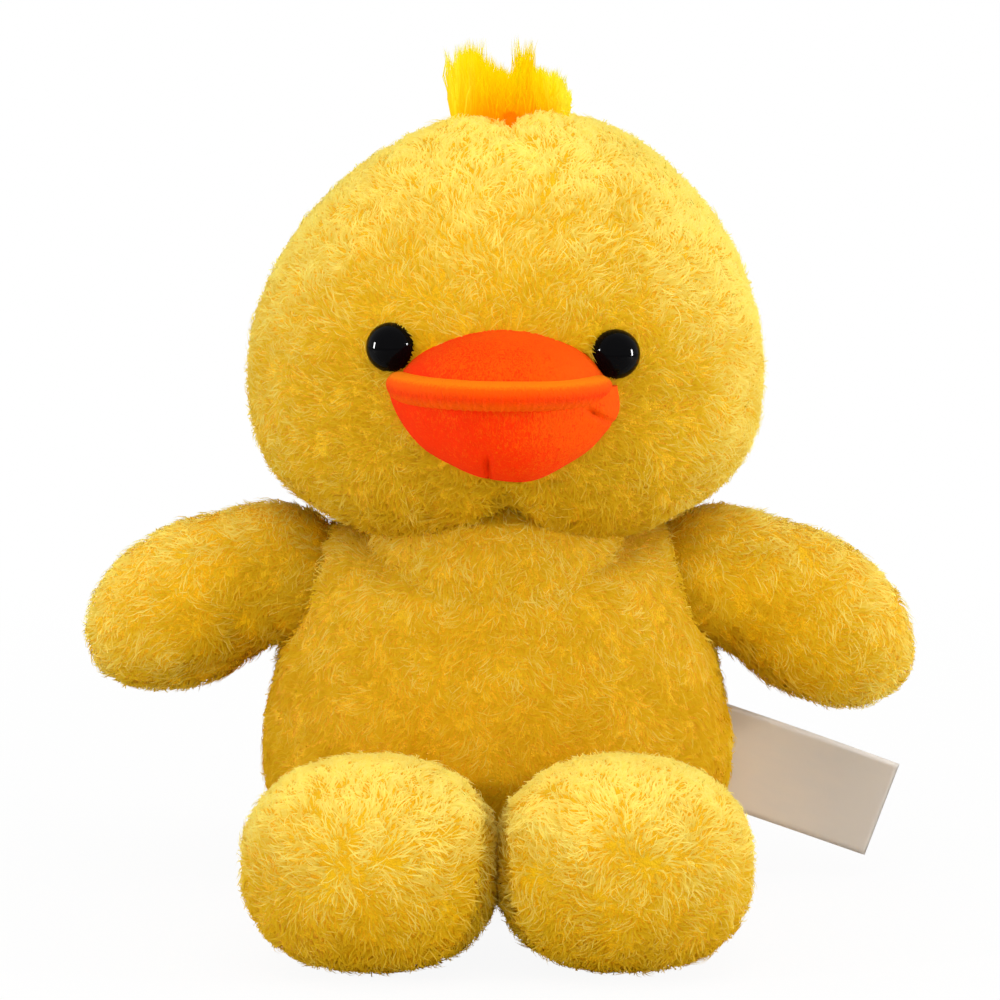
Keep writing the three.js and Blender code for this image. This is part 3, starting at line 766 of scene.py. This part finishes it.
for name, side, seed in (("left", 1, 41), ("right", -1, 51)):
    pivot = np.array((side * SHOULDER["out"], 0, SHOULDER["height"]))
    droop = WING_DROOP[name]
    size = dict(WING, length=WING_LENGTH[name])

    def wing_place(ball, side=side, pivot=pivot, droop=droop, size=size):
        shape = limb_shape(ball, size, SHOULDER["radius"], droop, PILE_DEPTH + SWELL_ROOM)
        hump = np.exp(-(((shape[:, 0] - WING_HUMP["out"]) / WING_HUMP["spread"]) ** 2))
        shape[:, 2] += WING_HUMP["rise"] * hump * np.clip(shape[:, 2] / WING_HUMP["over"], 0, 1)
        return shape * np.array((side, 1, 1)) + pivot

    wing = bag(f"{name}_wing_plush", wing_place)
    outwards(wing)
    stuff(wing, WING_VOXEL, SWELL_ROOM * 2)
    wing.data.materials.append(backing)
    tip = pivot + WING_COMB * np.array((side, 1, 1))

    def wing_comb(root, normal, tip=tip, pivot=pivot):
        return np.tile((tip - pivot) / np.linalg.norm(tip - pivot), (len(root), 1))

    def wing_lit_tone(root, normal, pivot=pivot):
        reach = np.linalg.norm(root - pivot, axis=1)
        out = np.clip((reach - WING_LIT_TONE["start"]) / WING_LIT_TONE["over"], 0, 1)
        up = np.clip(normal[:, 2], 0, 1)
        return WING_LIT_TONE["root"] + WING_LIT_TONE["outwards"] * out + WING_LIT_TONE["up"] * up

    def wing_bare(root, pivot=pivot, side=side):
        return (root[:, 0] - pivot[0]) * side < -WING_BARE

    grow_pile(f"{name}_wing_pile", wing, f"{name}_wing", wing_comb, wing_lit_tone,
              seed, wing_bare)
    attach(wing, f"{name}_wing")
    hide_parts(f"{name}_wing_cover", f"{name}_wing_stuffing")

# Feet. Short legs that end in a big ball with a round sole. The pile runs out from a whorl in
# the middle of the sole.
FOOT = dict(length=0.090, high=0.0342, deep=0.0416, peak=0.62, roundness=2.35, section=2.4)
FOOT_SPLAY = math.radians(4.2)
FOOT_VOXEL = 0.0045
SOLE_CLEAR = 0.0008
SOLE_WHORL = Vector((0.004, 0, 0.008))  # from the middle of the sole: outwards, -, upwards
# painted light and shade on the feet's pile: paler on top and where it faces up to the light,
# darker low down
FOOT_LIT_TONE = dict(middle=0.55, above=0.32, up=0.12, height=0.03, over=0.03)
FOOT_BARE = dict(behind=0.004, under=0.001)

for name, side, seed in (("left", 1, 61), ("right", -1, 71)):
    pivot = np.array((side * HIP["out"], -HIP["forward"], HIP["height"]))

    def foot_place(ball, side=side, pivot=pivot):
        shape = limb_shape(ball, FOOT, HIP["radius"], (0, 0), PILE_DEPTH + SWELL_ROOM)
        turn = FOOT_SPLAY - math.pi / 2
        x = shape[:, 0] * math.cos(turn) - shape[:, 1] * math.sin(turn)
        y = shape[:, 0] * math.sin(turn) + shape[:, 1] * math.cos(turn)
        return np.column_stack([x * side, y, shape[:, 2]]) + pivot

    foot = bag(f"{name}_foot_plush", foot_place)
    outwards(foot)
    stuff(foot, FOOT_VOXEL, SWELL_ROOM * 2)
    points = points_of(foot)
    points[:, 2] = np.maximum(points[:, 2], SOLE_CLEAR)
    move_points(foot, points)
    foot.data.materials.append(backing)
    sole_out = FOOT["length"] * math.sin(FOOT_SPLAY) + SOLE_WHORL.x
    sole = pivot + np.array((side * sole_out, -FOOT["length"], SOLE_WHORL.z))

    def foot_comb(root, normal, sole=sole):
        return root - sole

    def foot_lit_tone(root, normal):
        above = np.clip((root[:, 2] - FOOT_LIT_TONE["height"]) / FOOT_LIT_TONE["over"], -1, 1)
        up = np.clip(normal[:, 2], 0, 1)
        return FOOT_LIT_TONE["middle"] + FOOT_LIT_TONE["above"] * above + FOOT_LIT_TONE["up"] * up

    def foot_bare(root, pivot=pivot):
        return (root[:, 1] > pivot[1] + FOOT_BARE["behind"]) | (root[:, 2] < FOOT_BARE["under"])

    grow_pile(f"{name}_foot_pile", foot, f"{name}_foot", foot_comb, foot_lit_tone,
              seed, foot_bare)
    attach(foot, f"{name}_foot")
    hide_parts(f"{name}_foot_cover", f"{name}_foot_stuffing")

# Beak. Two stuffed covers of short orange velboa, sewn to the face, with a rolled lip over
# the mouth seam. The lower one has a dart in its middle, and a fold at its left corner where
# the lip's end is sewn down.
BEAK_RED = (1.0, 0.032, 0.0005)
BEAK_ORANGE = (1.0, 0.100, 0.001)
DART = dict(out=-0.0028, width=0.0007, depth=0.0026, below=0.157, over=0.004)
FOLD_START, FOLD_END = Vector((0.0285, 0, 0.1690)), Vector((0.0362, 0, 0.1632))
FOLD = dict(width=0.0008, depth=0.0024, lobe=0.0055, bulge=0.0026, fade=0.003)
FOLD_LOBE = Vector((0.0018, 0, 0.0022))  # from the middle of the fold to the lobe beside it
BEAK_UNEVEN = dict(share=0.02, size=0.02)


def velboa(name):
    """Short brushed pile: soft streaks of two oranges, a fine nap as bumps, and a little sheen
    at the edges. Returns the material, its place on the piece and its streaks."""
    material = bpy.data.materials.new(name)
    material.use_nodes = True
    nodes, links = material.node_tree.nodes, material.node_tree.links
    shader = nodes["Principled BSDF"]
    shader.inputs["Roughness"].default_value = 0.85
    shader.inputs["Specular IOR Level"].default_value = 0.02
    shader.inputs["Sheen Weight"].default_value = 0.06
    shader.inputs["Sheen Roughness"].default_value = 0.5
    shader.inputs["Sheen Tint"].default_value = (1, 0.4, 0.08, 1)
    place = add_node(nodes, "TexCoord")
    brushed = add_node(nodes, "Mapping", {"Rotation": (0, 0.5, 0), "Scale": (1, 1, 0.35)})
    cloudy, nap = nodes.new("ShaderNodeTexNoise"), nodes.new("ShaderNodeTexNoise")
    cloudy.inputs["Scale"].default_value = 70
    cloudy.inputs["Detail"].default_value = 3
    nap.inputs["Scale"].default_value = 1500
    nap.inputs["Distortion"].default_value = 1.5
    streaks = add_node(nodes, "Mix", {"Factor": 0.75})
    bump = add_node(nodes, "Bump", {"Strength": 0.9, "Distance": 0.0005})
    for source, target in (
        (place.outputs["Object"], brushed.inputs["Vector"]),
        (place.outputs["Object"], cloudy.inputs["Vector"]),
        (brushed.outputs[0], nap.inputs["Vector"]),
        (cloudy.outputs["Fac"], streaks.inputs[2]),
        (nap.outputs["Fac"], streaks.inputs[3]),
        (nap.outputs["Fac"], bump.inputs["Height"]),
        (bump.outputs[0], shader.inputs["Normal"]),
    ):
        links.new(source, target)
    return material, place, streaks


beak_cloth, beak_spot, beak_streaks = velboa("beak_velboa")
beak_nodes, beak_links = beak_cloth.node_tree.nodes, beak_cloth.node_tree.links
beak_axes = add_node(beak_nodes, "SeparateXYZ")
beak_lighter = add_node(beak_nodes, "MapRange",
                        {"From Min": -0.03, "From Max": 0.03, "To Min": -0.12, "To Max": 0.16})
beak_redder = add_node(beak_nodes, "MapRange",
                       {"From Min": 0.150, "From Max": 0.195, "To Min": -0.12, "To Max": 0.06})
beak_sum, beak_total = beak_nodes.new("ShaderNodeMath"), beak_nodes.new("ShaderNodeMath")
beak_tint = ramp_of(beak_nodes, [(0.40, BEAK_RED), (0.60, BEAK_ORANGE)])
for source, target in (
    (beak_spot.outputs["Object"], beak_axes.inputs[0]),
    (beak_axes.outputs["X"], beak_lighter.inputs["Value"]),
    (beak_streaks.outputs[0], beak_sum.inputs[0]),
    (beak_lighter.outputs["Result"], beak_sum.inputs[1]),
    (beak_axes.outputs["Z"], beak_redder.inputs["Value"]),
    (beak_sum.outputs[0], beak_total.inputs[0]),
    (beak_redder.outputs["Result"], beak_total.inputs[1]),
    (beak_total.outputs[0], beak_tint.inputs[0]),
    (beak_tint.outputs[0], beak_nodes["Principled BSDF"].inputs["Base Color"]),
):
    beak_links.new(source, target)


def beak_shape(ball, half, upper):
    """The half of the beak above or below the mouth seam, closed by a flat floor. Seen from
    the front its outline is a little more pointed than an ellipse."""
    level = np.maximum(ball[:, 2], 0) if upper else np.minimum(ball[:, 2], 0)
    turn = np.arctan2(level, ball[:, 0])
    power = half["pointed"]
    slim = (np.abs(np.cos(turn)) ** power + np.abs(np.sin(turn)) ** power) ** (-1 / power)
    return np.column_stack([
        FACE.x + half["out"] * ball[:, 0] * slim - half.get("aside", 0) * level,
        -BEAK["root"] + half["forward"] * ball[:, 1],
        FACE.z + level * half["height"] * slim,
    ])


for name, half, upper in (("upper_beak", UPPER_BEAK, True), ("lower_beak", LOWER_BEAK, False)):

    def beak_place(ball, half=half, upper=upper):
        return beak_shape(ball, half, upper)

    beak = bag(f"{name}_velboa", beak_place)
    if not upper:
        finer = beak.modifiers.new("finer", "SUBSURF")
        finer.levels = finer.render_levels = 1
        apply_all(beak)
    points = points_of(beak)
    front = points[:, 1] < -BEAK["root"]
    if not upper:
        dart = np.exp(-(((points[:, 0] - DART["out"]) / DART["width"]) ** 2)) * front
        dart *= np.clip((DART["below"] - points[:, 2]) / DART["over"], 0, 1)
        points[:, 1] += DART["depth"] * dart
        fold_way = (FOLD_END - FOLD_START).normalized()
        from_start = points - np.array(FOLD_START)
        from_start[:, 1] = 0
        run = from_start @ np.array(fold_way)
        off = from_start - run[:, None] * np.array(fold_way)
        groove = np.exp(-((np.linalg.norm(off, axis=1) / FOLD["width"]) ** 2)) * front
        groove *= np.clip((run + FOLD["fade"]) / FOLD["fade"], 0, 1)
        lobe_off = points - np.array((FOLD_START + FOLD_END) / 2 + FOLD_LOBE)
        lobe_off[:, 1] = 0
        lobe = np.exp(-((np.linalg.norm(lobe_off, axis=1) / FOLD["lobe"]) ** 2)) * front
        points[:, 1] += FOLD["depth"] * groove - FOLD["bulge"] * lobe
        points[:, 0] += FOLD["bulge"] * 0.5 * lobe
    uneven = BEAK_UNEVEN["share"] * waves(points, BEAK_UNEVEN["size"], 8, 81)
    points += (points - np.array((FACE.x, -BEAK["root"], FACE.z))) * uneven[:, None]
    move_points(beak, points)
    bpy.ops.object.shade_smooth()
    beak.data.materials.append(beak_cloth)
    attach(beak, "head")
    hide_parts(name)
    if not upper:
        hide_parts("beak_stuffing")

LIP = dict(out=0.0312, forward=0.0248, high=0.0046, deep=0.0046, sag=0.0010, tilt=0.0006,
           aside=0.0006, wrap=1.04, pressed=0.10)
LIP_STITCHES = 42  # puckers along its lower edge
LIP_PUCKER = 0.035
# the lip's own orange, with painted shade as red across the middle of the roll and a painted
# highlight along its lit top ridge
LIP_SHADED_RED, LIP_ORANGE, LIP_RIDGE_HIGHLIGHT = (1.0, 0.050, 0.0005), (1.0, 0.105, 0.001), (1.0, 0.22, 0.003)


def lip_shape(ball):
    """A sausage along the mouth seam: the ball's X runs along it. Its top is rolled, and below
    that it is pressed flatter and puckered by the stitches."""
    share = np.arcsin(np.clip(ball[:, 0], -1, 1)) / (math.pi / 2)
    round_end = np.sqrt(np.maximum(0, 1 - np.abs(share) ** 12))
    turn = math.pi / 2 - share * math.pi / 2 * LIP["wrap"]
    ring = np.arctan2(ball[:, 2], -ball[:, 1])
    lower = np.clip(0.25 - np.sin(ring), 0, 1)
    stitches = np.sin(share * LIP_STITCHES * math.pi + 2 * np.sin(share * 9))
    pucker = 1 + LIP_PUCKER * lower * stitches
    deep = LIP["deep"] * round_end * np.cos(ring) * (1 - LIP["pressed"] * lower) * pucker
    high = LIP["high"] * round_end * np.sin(ring) * pucker
    return np.column_stack([
        LIP["aside"] + (LIP["out"] + deep) * np.cos(turn),
        -BEAK["root"] - (LIP["forward"] + deep) * np.sin(turn),
        FACE.z - LIP["sag"] * np.sin(turn) - LIP["tilt"] * share + high,
    ])


bpy.ops.object.select_all(action="DESELECT")
bpy.ops.mesh.primitive_uv_sphere_add(
    segments=40, ring_count=256, radius=1, rotation=(0, math.pi / 2, 0)
)
bpy.ops.object.transform_apply(location=False, rotation=True, scale=False)
lip = bpy.context.object
lip.name = "beak_lip_velboa"
ball = points_of(lip)
lip_share = np.arcsin(np.clip(ball[:, 0], -1, 1)) / (math.pi / 2)
lip_level = np.sin(np.arctan2(ball[:, 2], -ball[:, 1]))
chart = lip.data.attributes.new("lip_chart", "FLOAT_VECTOR", "POINT")
lip_places = np.column_stack([lip_share, lip_level, np.zeros(len(ball))])
chart.data.foreach_set("vector", lip_places.ravel())
move_points(lip, lip_shape(ball))
bpy.ops.object.shade_smooth()
lip_cloth, _, lip_streaks = velboa("lip_velboa")
lip_nodes, lip_links = lip_cloth.node_tree.nodes, lip_cloth.node_tree.links
lip_chart = add_node(lip_nodes, "Attribute", attribute_name="lip_chart")
lip_axes = add_node(lip_nodes, "SeparateXYZ")
lip_roll = add_node(lip_nodes, "MapRange", {"From Min": -1, "To Min": -0.06, "To Max": 0.94})
lip_uneven = add_node(lip_nodes, "Math", {1: 0.34}, operation="MULTIPLY_ADD")
# painted shade in red along the roll's middle and a painted highlight at its top ridge, over the
# lip's orange
lip_tint = ramp_of(lip_nodes, [
    (0.25, LIP_ORANGE), (0.50, LIP_SHADED_RED), (0.84, LIP_ORANGE), (0.98, LIP_RIDGE_HIGHLIGHT),
])
lip_wrinkles = add_node(lip_nodes, "TexWave", {"Scale": 11, "Distortion": 6, "Detail": 1})
lip_pressed = add_node(lip_nodes, "MapRange", {"From Min": 0.30, "From Max": -0.10})
lip_depth = add_node(lip_nodes, "Math", operation="MULTIPLY")
lip_creases = add_node(lip_nodes, "Bump", {"Strength": 0.5, "Distance": 0.0003})
for source, target in (
    (lip_chart.outputs["Vector"], lip_axes.inputs[0]),
    (lip_axes.outputs["Y"], lip_roll.inputs["Value"]),
    (lip_streaks.outputs[0], lip_uneven.inputs[0]),
    (lip_roll.outputs["Result"], lip_uneven.inputs[2]),
    (lip_uneven.outputs[0], lip_tint.inputs[0]),
    (lip_tint.outputs[0], lip_nodes["Principled BSDF"].inputs["Base Color"]),
    (lip_chart.outputs["Vector"], lip_wrinkles.inputs["Vector"]),
    (lip_axes.outputs["Y"], lip_pressed.inputs["Value"]),
    (lip_wrinkles.outputs["Fac"], lip_depth.inputs[0]),
    (lip_pressed.outputs["Result"], lip_depth.inputs[1]),
    (lip_depth.outputs[0], lip_creases.inputs["Height"]),
    (lip_nodes["Bump"].outputs[0], lip_creases.inputs["Normal"]),
    (lip_creases.outputs[0], lip_nodes["Principled BSDF"].inputs["Normal"]),
):
    lip_links.new(source, target)
lip.data.materials.append(lip_cloth)
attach(lip, "head")
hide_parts("beak_lip")

# Eyes. Black plastic domes, polished, each on a shank that runs through the cover to a washer.
# The washers stay as the CAD has them, out of sight behind the cloth.
EYE_DOME = 0.0078
EYE_BACK = 0.0015  # how far the back of the dome bulges
EYE_SINK = 0.0042  # of the dome's flat back, under the tips of the pile
gloss = bpy.data.materials.new("eye_plastic")
gloss.use_nodes = True
gloss_nodes, gloss_links = gloss.node_tree.nodes, gloss.node_tree.links
gloss_shader = gloss_nodes["Principled BSDF"]
gloss_shader.inputs["Base Color"].default_value = (0.0015, 0.0015, 0.002, 1)
gloss_shader.inputs["IOR"].default_value = 1.33
gloss_shader.inputs["Specular IOR Level"].default_value = 0.08
gloss_place = add_node(gloss_nodes, "TexCoord")
gloss_smear = add_node(gloss_nodes, "TexNoise", {"Scale": 300})
gloss_level = add_node(gloss_nodes, "MapRange", {"To Min": 0.02, "To Max": 0.06})
for source, target in (
    (gloss_place.outputs["Object"], gloss_smear.inputs["Vector"]),
    (gloss_smear.outputs["Fac"], gloss_level.inputs["Value"]),
    (gloss_level.outputs["Result"], gloss_shader.inputs["Roughness"]),
):
    gloss_links.new(source, target)


def face_depth(x, z):
    """How far in front of the head's middle its outline lies."""
    above = z > HEAD_MIDDLE.z
    roundness = HEAD["upper"] if above else HEAD["lower"]
    rise = abs(z - HEAD_MIDDLE.z) / (HEAD["rise"] if above else HEAD["drop"])
    spread = (1 - rise ** roundness) ** (1 / roundness)
    lean = (z - HEAD_MIDDLE.z) / HEAD["rise"]
    out = abs(x - HEAD_MIDDLE.x - HEAD_LEAN * lean * abs(lean)) / (HEAD["out"] * spread)
    return HEAD["back"] * spread * (1 - out ** HEAD["plan"]) ** (1 / HEAD["plan"])


for name, middle in EYES.items():
    depth = face_depth(middle.x, middle.z)
    facing = math.atan2((middle.x - HEAD_MIDDLE.x) / HEAD["out"] ** 2, depth / HEAD["back"] ** 2)
    bpy.ops.object.select_all(action="DESELECT")
    bpy.ops.mesh.primitive_uv_sphere_add(segments=48, ring_count=32, radius=1)
    eye = bpy.context.object
    eye.name = f"{name}_eye_dome"
    ball = points_of(eye)
    shape = np.column_stack([
        ball[:, 0] * EYE_RADIUS,
        -ball[:, 2] * np.where(ball[:, 2] > 0, EYE_DOME, EYE_BACK) + EYE_SINK,
        ball[:, 1] * EYE_RADIUS,
    ])
    turned = shape.copy()
    turned[:, 0] = shape[:, 0] * math.cos(facing) - shape[:, 1] * math.sin(facing)
    turned[:, 1] = shape[:, 0] * math.sin(facing) + shape[:, 1] * math.cos(facing)
    move_points(eye, turned + np.array((middle.x, -depth, middle.z)))
    outwards(eye)
    bpy.ops.object.shade_smooth()
    eye.data.materials.append(gloss)
    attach(eye, "head")
    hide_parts(f"{name}_eye")

washer_plastic = bpy.data.materials.new("washer_plastic")
washer_plastic.use_nodes = True
washer_nodes, washer_links = washer_plastic.node_tree.nodes, washer_plastic.node_tree.links
washer_place = add_node(washer_nodes, "TexCoord")
washer_noise = add_node(washer_nodes, "TexNoise", {"Scale": 500})
washer_tint = ramp_of(washer_nodes, [(0.3, (0.74, 0.74, 0.71)), (0.7, (0.82, 0.82, 0.79))])
for source, target in (
    (washer_place.outputs["Object"], washer_noise.inputs["Vector"]),
    (washer_noise.outputs["Fac"], washer_tint.inputs[0]),
    (washer_tint.outputs[0], washer_nodes["Principled BSDF"].inputs["Base Color"]),
):
    washer_links.new(source, target)
for name in EYES:
    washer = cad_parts[f"{name}_eye_washer"]
    washer.data.materials.clear()
    washer.data.materials.append(washer_plastic)

# Tuft. A bunch of long fibre sewn into the crown, orange in the middle of its root, yellow
# above and pale at its tips. It is taller at its right end, and its wisps stand apart.
TUFT = dict(width=0.041, height=0.021, depth=0.015, out=0.004, rooted=0.9, sink=0.001)
TUFT_SHARES = (  # how high it stands, from its right end across to its left end
    (-0.5, 0.86), (-0.42, 0.90), (-0.36, 0.96), (-0.28, 1.00), (-0.22, 0.72), (-0.08, 0.60),
    (0.07, 0.54), (0.12, 1.05), (0.155, 0.62), (0.30, 0.54), (0.42, 0.46), (0.5, 0.20),
)
FIBRE_RADIUS = (0.00014, 0.00028)
FIBRE_STRAY = 0.00035
TUFT_LOCKS = 7600
TUFT_WISPS = 110
TUFT_ROOTS = [(0.0, (1.0, 0.32, 0.0002)), (0.45, (1.0, 0.56, 0.0005)), (1.0, (1.0, 0.88, 0.001))]
TUFT_TIPS = [(0.0, (1.0, 0.88, 0.001)), (0.45, (1.0, 0.93, 0.006)), (1.0, (1.0, 0.96, 0.09))]

fibre = pile_material("tuft_fibre", TUFT_ROOTS, TUFT_TIPS)
draw = np.random.default_rng(91)
wisp_across = draw.uniform(-0.5, 0.5, TUFT_WISPS)
wisp_deep = draw.uniform(-0.5, 0.5, TUFT_WISPS)
wisp_of = draw.integers(0, TUFT_WISPS, TUFT_LOCKS)
across = np.clip(wisp_across[wisp_of] + draw.normal(0, 0.045, TUFT_LOCKS), -0.5, 0.5)
deep = np.clip(wisp_deep[wisp_of] + draw.normal(0, 0.11, TUFT_LOCKS), -0.5, 0.5)
crown_points = points_of(head)
crown_tree = kdtree.KDTree(len(crown_points))
for index, place in enumerate(crown_points * np.array((1, 1, 0))):
    crown_tree.insert(place if crown_points[index, 2] > HEAD_MIDDLE.z else place + 9, index)
crown_tree.balance()
root = np.column_stack([
    TUFT["out"] + across * TUFT["width"] * TUFT["rooted"],
    deep * TUFT["depth"],
    np.zeros(TUFT_LOCKS),
])
root[:, 2] = [crown_points[crown_tree.find(place)[1], 2] - TUFT["sink"] for place in root]
crown_level = HEAD_MIDDLE.z + HEAD["rise"]
shares = np.array(TUFT_SHARES)
wisp_height = np.interp(wisp_across, shares[:, 0], shares[:, 1])
wisp_height = wisp_height * draw.uniform(0.80, 1.04, TUFT_WISPS)
short = np.where(
    draw.random(TUFT_LOCKS) < 0.5,
    draw.uniform(0.45, 0.8, TUFT_LOCKS),
    draw.uniform(0.8, 1.0, TUFT_LOCKS),
)
reach = (crown_level - root[:, 2] + wisp_height[wisp_of] * TUFT["height"]) * short
wisp_fan = np.column_stack([wisp_across * 0.02, wisp_deep * 0.45, np.ones(TUFT_WISPS)])
wisp_fan[:, :2] += draw.normal(0, 0.04, (TUFT_WISPS, 2))
wisp_root = np.column_stack([
    TUFT["out"] + wisp_across * TUFT["width"] * TUFT["rooted"], wisp_deep * TUFT["depth"],
])
wisp_bend = draw.normal(0, 0.05, (TUFT_WISPS, 2))
line = [root]
for share in (0.35, 0.7, 1.0):
    gathered = 0.75 * share
    rise = reach * share
    spot = root.copy()
    spot[:, :2] = root[:, :2] * (1 - gathered) + wisp_root[wisp_of] * gathered
    spot[:, :2] += (wisp_fan[wisp_of, :2] + wisp_bend[wisp_of] * share) * rise[:, None]
    spot[:, :2] += draw.normal(0, FIBRE_STRAY, (TUFT_LOCKS, 2)) * (1 + share)
    spot[:, 2] += rise
    line.append(spot)
tuft_outward = unit(np.column_stack([
    across * 0.5, np.where(deep < 0.1, -0.8, 0.8), np.full(TUFT_LOCKS, 0.9),
]))
tuft_tone = 1.9 * np.abs(across + 0.02) ** 1.2 + 0.35 * (deep > 0.2)
tuft_tone = np.clip(tuft_tone + draw.normal(0, 0.08, TUFT_LOCKS), 0.02, 0.98)
make_locks("tuft_fibre", "head", fibre, [line],
           [draw.uniform(*FIBRE_RADIUS, TUFT_LOCKS)], [tuft_tone], [tuft_outward], draw)
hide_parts("tuft")

# Tuft's parting. Short orange fibre that shows in front of the tuft, down in the crown's dip.
PARTING = dict(locks=260, out=0.0040, front=-0.0175, back=-0.006, spread=0.0012, reach=0.0042,
               sink=0.0005, tone=0.03)

parting_fibre = pile_material("parting_fibre", TUFT_ROOTS, TUFT_ROOTS)
parting = draw.random(PARTING["locks"])
parting_root = np.column_stack([
    PARTING["out"] + draw.normal(0, PARTING["spread"], PARTING["locks"]) * parting,
    PARTING["front"] + (PARTING["back"] - PARTING["front"]) * parting,
    np.zeros(PARTING["locks"]),
])
for place in parting_root:
    place[2] = crown_points[crown_tree.find(place)[1], 2] - PARTING["sink"]
parting_way = np.column_stack([
    draw.normal(0, 0.12, PARTING["locks"]),
    np.full(PARTING["locks"], -0.35),
    np.ones(PARTING["locks"]),
])
parting_line = [
    parting_root + parting_way * PARTING["reach"] * share for share in (0, 0.35, 0.7, 1.0)
]
make_locks("parting_fibre", "head", parting_fibre, [parting_line],
           [draw.uniform(*FIBRE_RADIUS, PARTING["locks"])],
           [np.full(PARTING["locks"], PARTING["tone"])],
           [np.tile((0.0, -0.7, 0.7), (PARTING["locks"], 1))], draw)

# Label. A satin ribbon folded double and sewn into the left side seam at the back, bare.
LABEL = dict(width=0.033, length=0.058, back=0.015, height=0.0442, sewn=0.006, tucked=0.0014,
             fold=0.001)
LABEL_SWAY = dict(far=0.0016, near=0.0008, turns=3.0, ripple=0.02)
LABEL_DROOP = math.radians(20.5)
LABEL_TURN = math.radians(8)
LABEL_LAYERS = 0.0007  # between the two layers
LABEL_CLOTH = 0.00018
# where the painted reflected light from the body fades out along the ribbon
LABEL_WARM_UNTIL, LABEL_GREY_FROM = 0.070, 0.130  # out from the middle of the chick
bpy.ops.object.select_all(action="DESELECT")
bpy.ops.mesh.primitive_grid_add(x_subdivisions=96, y_subdivisions=16, size=1)
label = bpy.context.object
label.name = "label_ribbon"
flat = points_of(label)
layer_length = LABEL["length"] + LABEL["sewn"]
run = (flat[:, 0] + 0.5) * 2 * layer_length
out = np.where(run < layer_length, run, 2 * layer_length - run)
layer = np.where(run < layer_length, -1, 1)
near_fold = np.clip((layer_length - out) / LABEL["fold"], 0, 1)
high = flat[:, 1] * LABEL["width"]
sway = LABEL_SWAY["far"] * np.sin(out / LABEL["length"] * LABEL_SWAY["turns"]) * (0.4 + flat[:, 1])
sway += LABEL_SWAY["near"] * np.sin(out / LABEL_SWAY["ripple"])
shape = np.column_stack([out - LABEL["sewn"], layer * near_fold * LABEL_LAYERS / 2 + sway, high])
tilted = shape.copy()
tilted[:, 0] = shape[:, 0] * math.cos(LABEL_DROOP) + shape[:, 2] * math.sin(LABEL_DROOP)
tilted[:, 2] = shape[:, 2] * math.cos(LABEL_DROOP) - shape[:, 0] * math.sin(LABEL_DROOP)
placed = tilted.copy()
placed[:, 0] = tilted[:, 0] * math.cos(LABEL_TURN) - tilted[:, 1] * math.sin(LABEL_TURN)
placed[:, 1] = tilted[:, 0] * math.sin(LABEL_TURN) + tilted[:, 1] * math.cos(LABEL_TURN)
label_root = (BODY["out"] - LABEL["tucked"]) * math.sqrt(1 - (LABEL["back"] / BODY["back"]) ** 2)
move_points(label, placed + np.array((label_root, LABEL["back"], LABEL["height"])))
thick = label.modifiers.new("cloth", "SOLIDIFY")
thick.thickness = LABEL_CLOTH
thick.offset = 0
apply_all(label)
bpy.ops.object.shade_smooth()
satin = bpy.data.materials.new("label_satin")
satin.use_nodes = True
satin_nodes, satin_links = satin.node_tree.nodes, satin.node_tree.links
satin_shader = satin_nodes["Principled BSDF"]
satin_shader.inputs["Roughness"].default_value = 0.42
satin_shader.inputs["Sheen Weight"].default_value = 0.2
satin_chart = add_node(satin_nodes, "UVMap", uv_map="UVMap")
satin_weave = add_node(satin_nodes, "TexWave", {"Scale": 160}, bands_direction="X")
satin_mottle = add_node(satin_nodes, "TexNoise", {"Scale": 9})
satin_place = add_node(satin_nodes, "TexCoord")
satin_axes = add_node(satin_nodes, "SeparateXYZ")
# painted reflected light: warm beside the body, where the yellow fur throws its light on the
# ribbon, and greyer out at the fold
satin_body_bounce = add_node(satin_nodes, "MapRange",
                       {"From Min": LABEL_WARM_UNTIL, "From Max": LABEL_GREY_FROM})
satin_sum = add_node(satin_nodes, "Mix", {"Factor": 0.25})
satin_tint = ramp_of(satin_nodes, [(0.3, (0.77, 0.64, 0.49)), (0.7, (0.66, 0.58, 0.49))])
satin_bump = add_node(satin_nodes, "Bump", {"Distance": 0.0001})
for source, target in (
    (satin_chart.outputs[0], satin_weave.inputs["Vector"]),
    (satin_chart.outputs[0], satin_mottle.inputs["Vector"]),
    (satin_place.outputs["Object"], satin_axes.inputs[0]),
    (satin_axes.outputs["X"], satin_body_bounce.inputs["Value"]),
    (satin_body_bounce.outputs["Result"], satin_sum.inputs[2]),
    (satin_mottle.outputs["Fac"], satin_sum.inputs[3]),
    (satin_sum.outputs[0], satin_tint.inputs[0]),
    (satin_tint.outputs[0], satin_shader.inputs["Base Color"]),
    (satin_weave.outputs["Fac"], satin_bump.inputs["Height"]),
    (satin_bump.outputs[0], satin_shader.inputs["Normal"]),
):
    satin_links.new(source, target)
label.data.materials.append(satin)
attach(label, "body")
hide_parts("label")
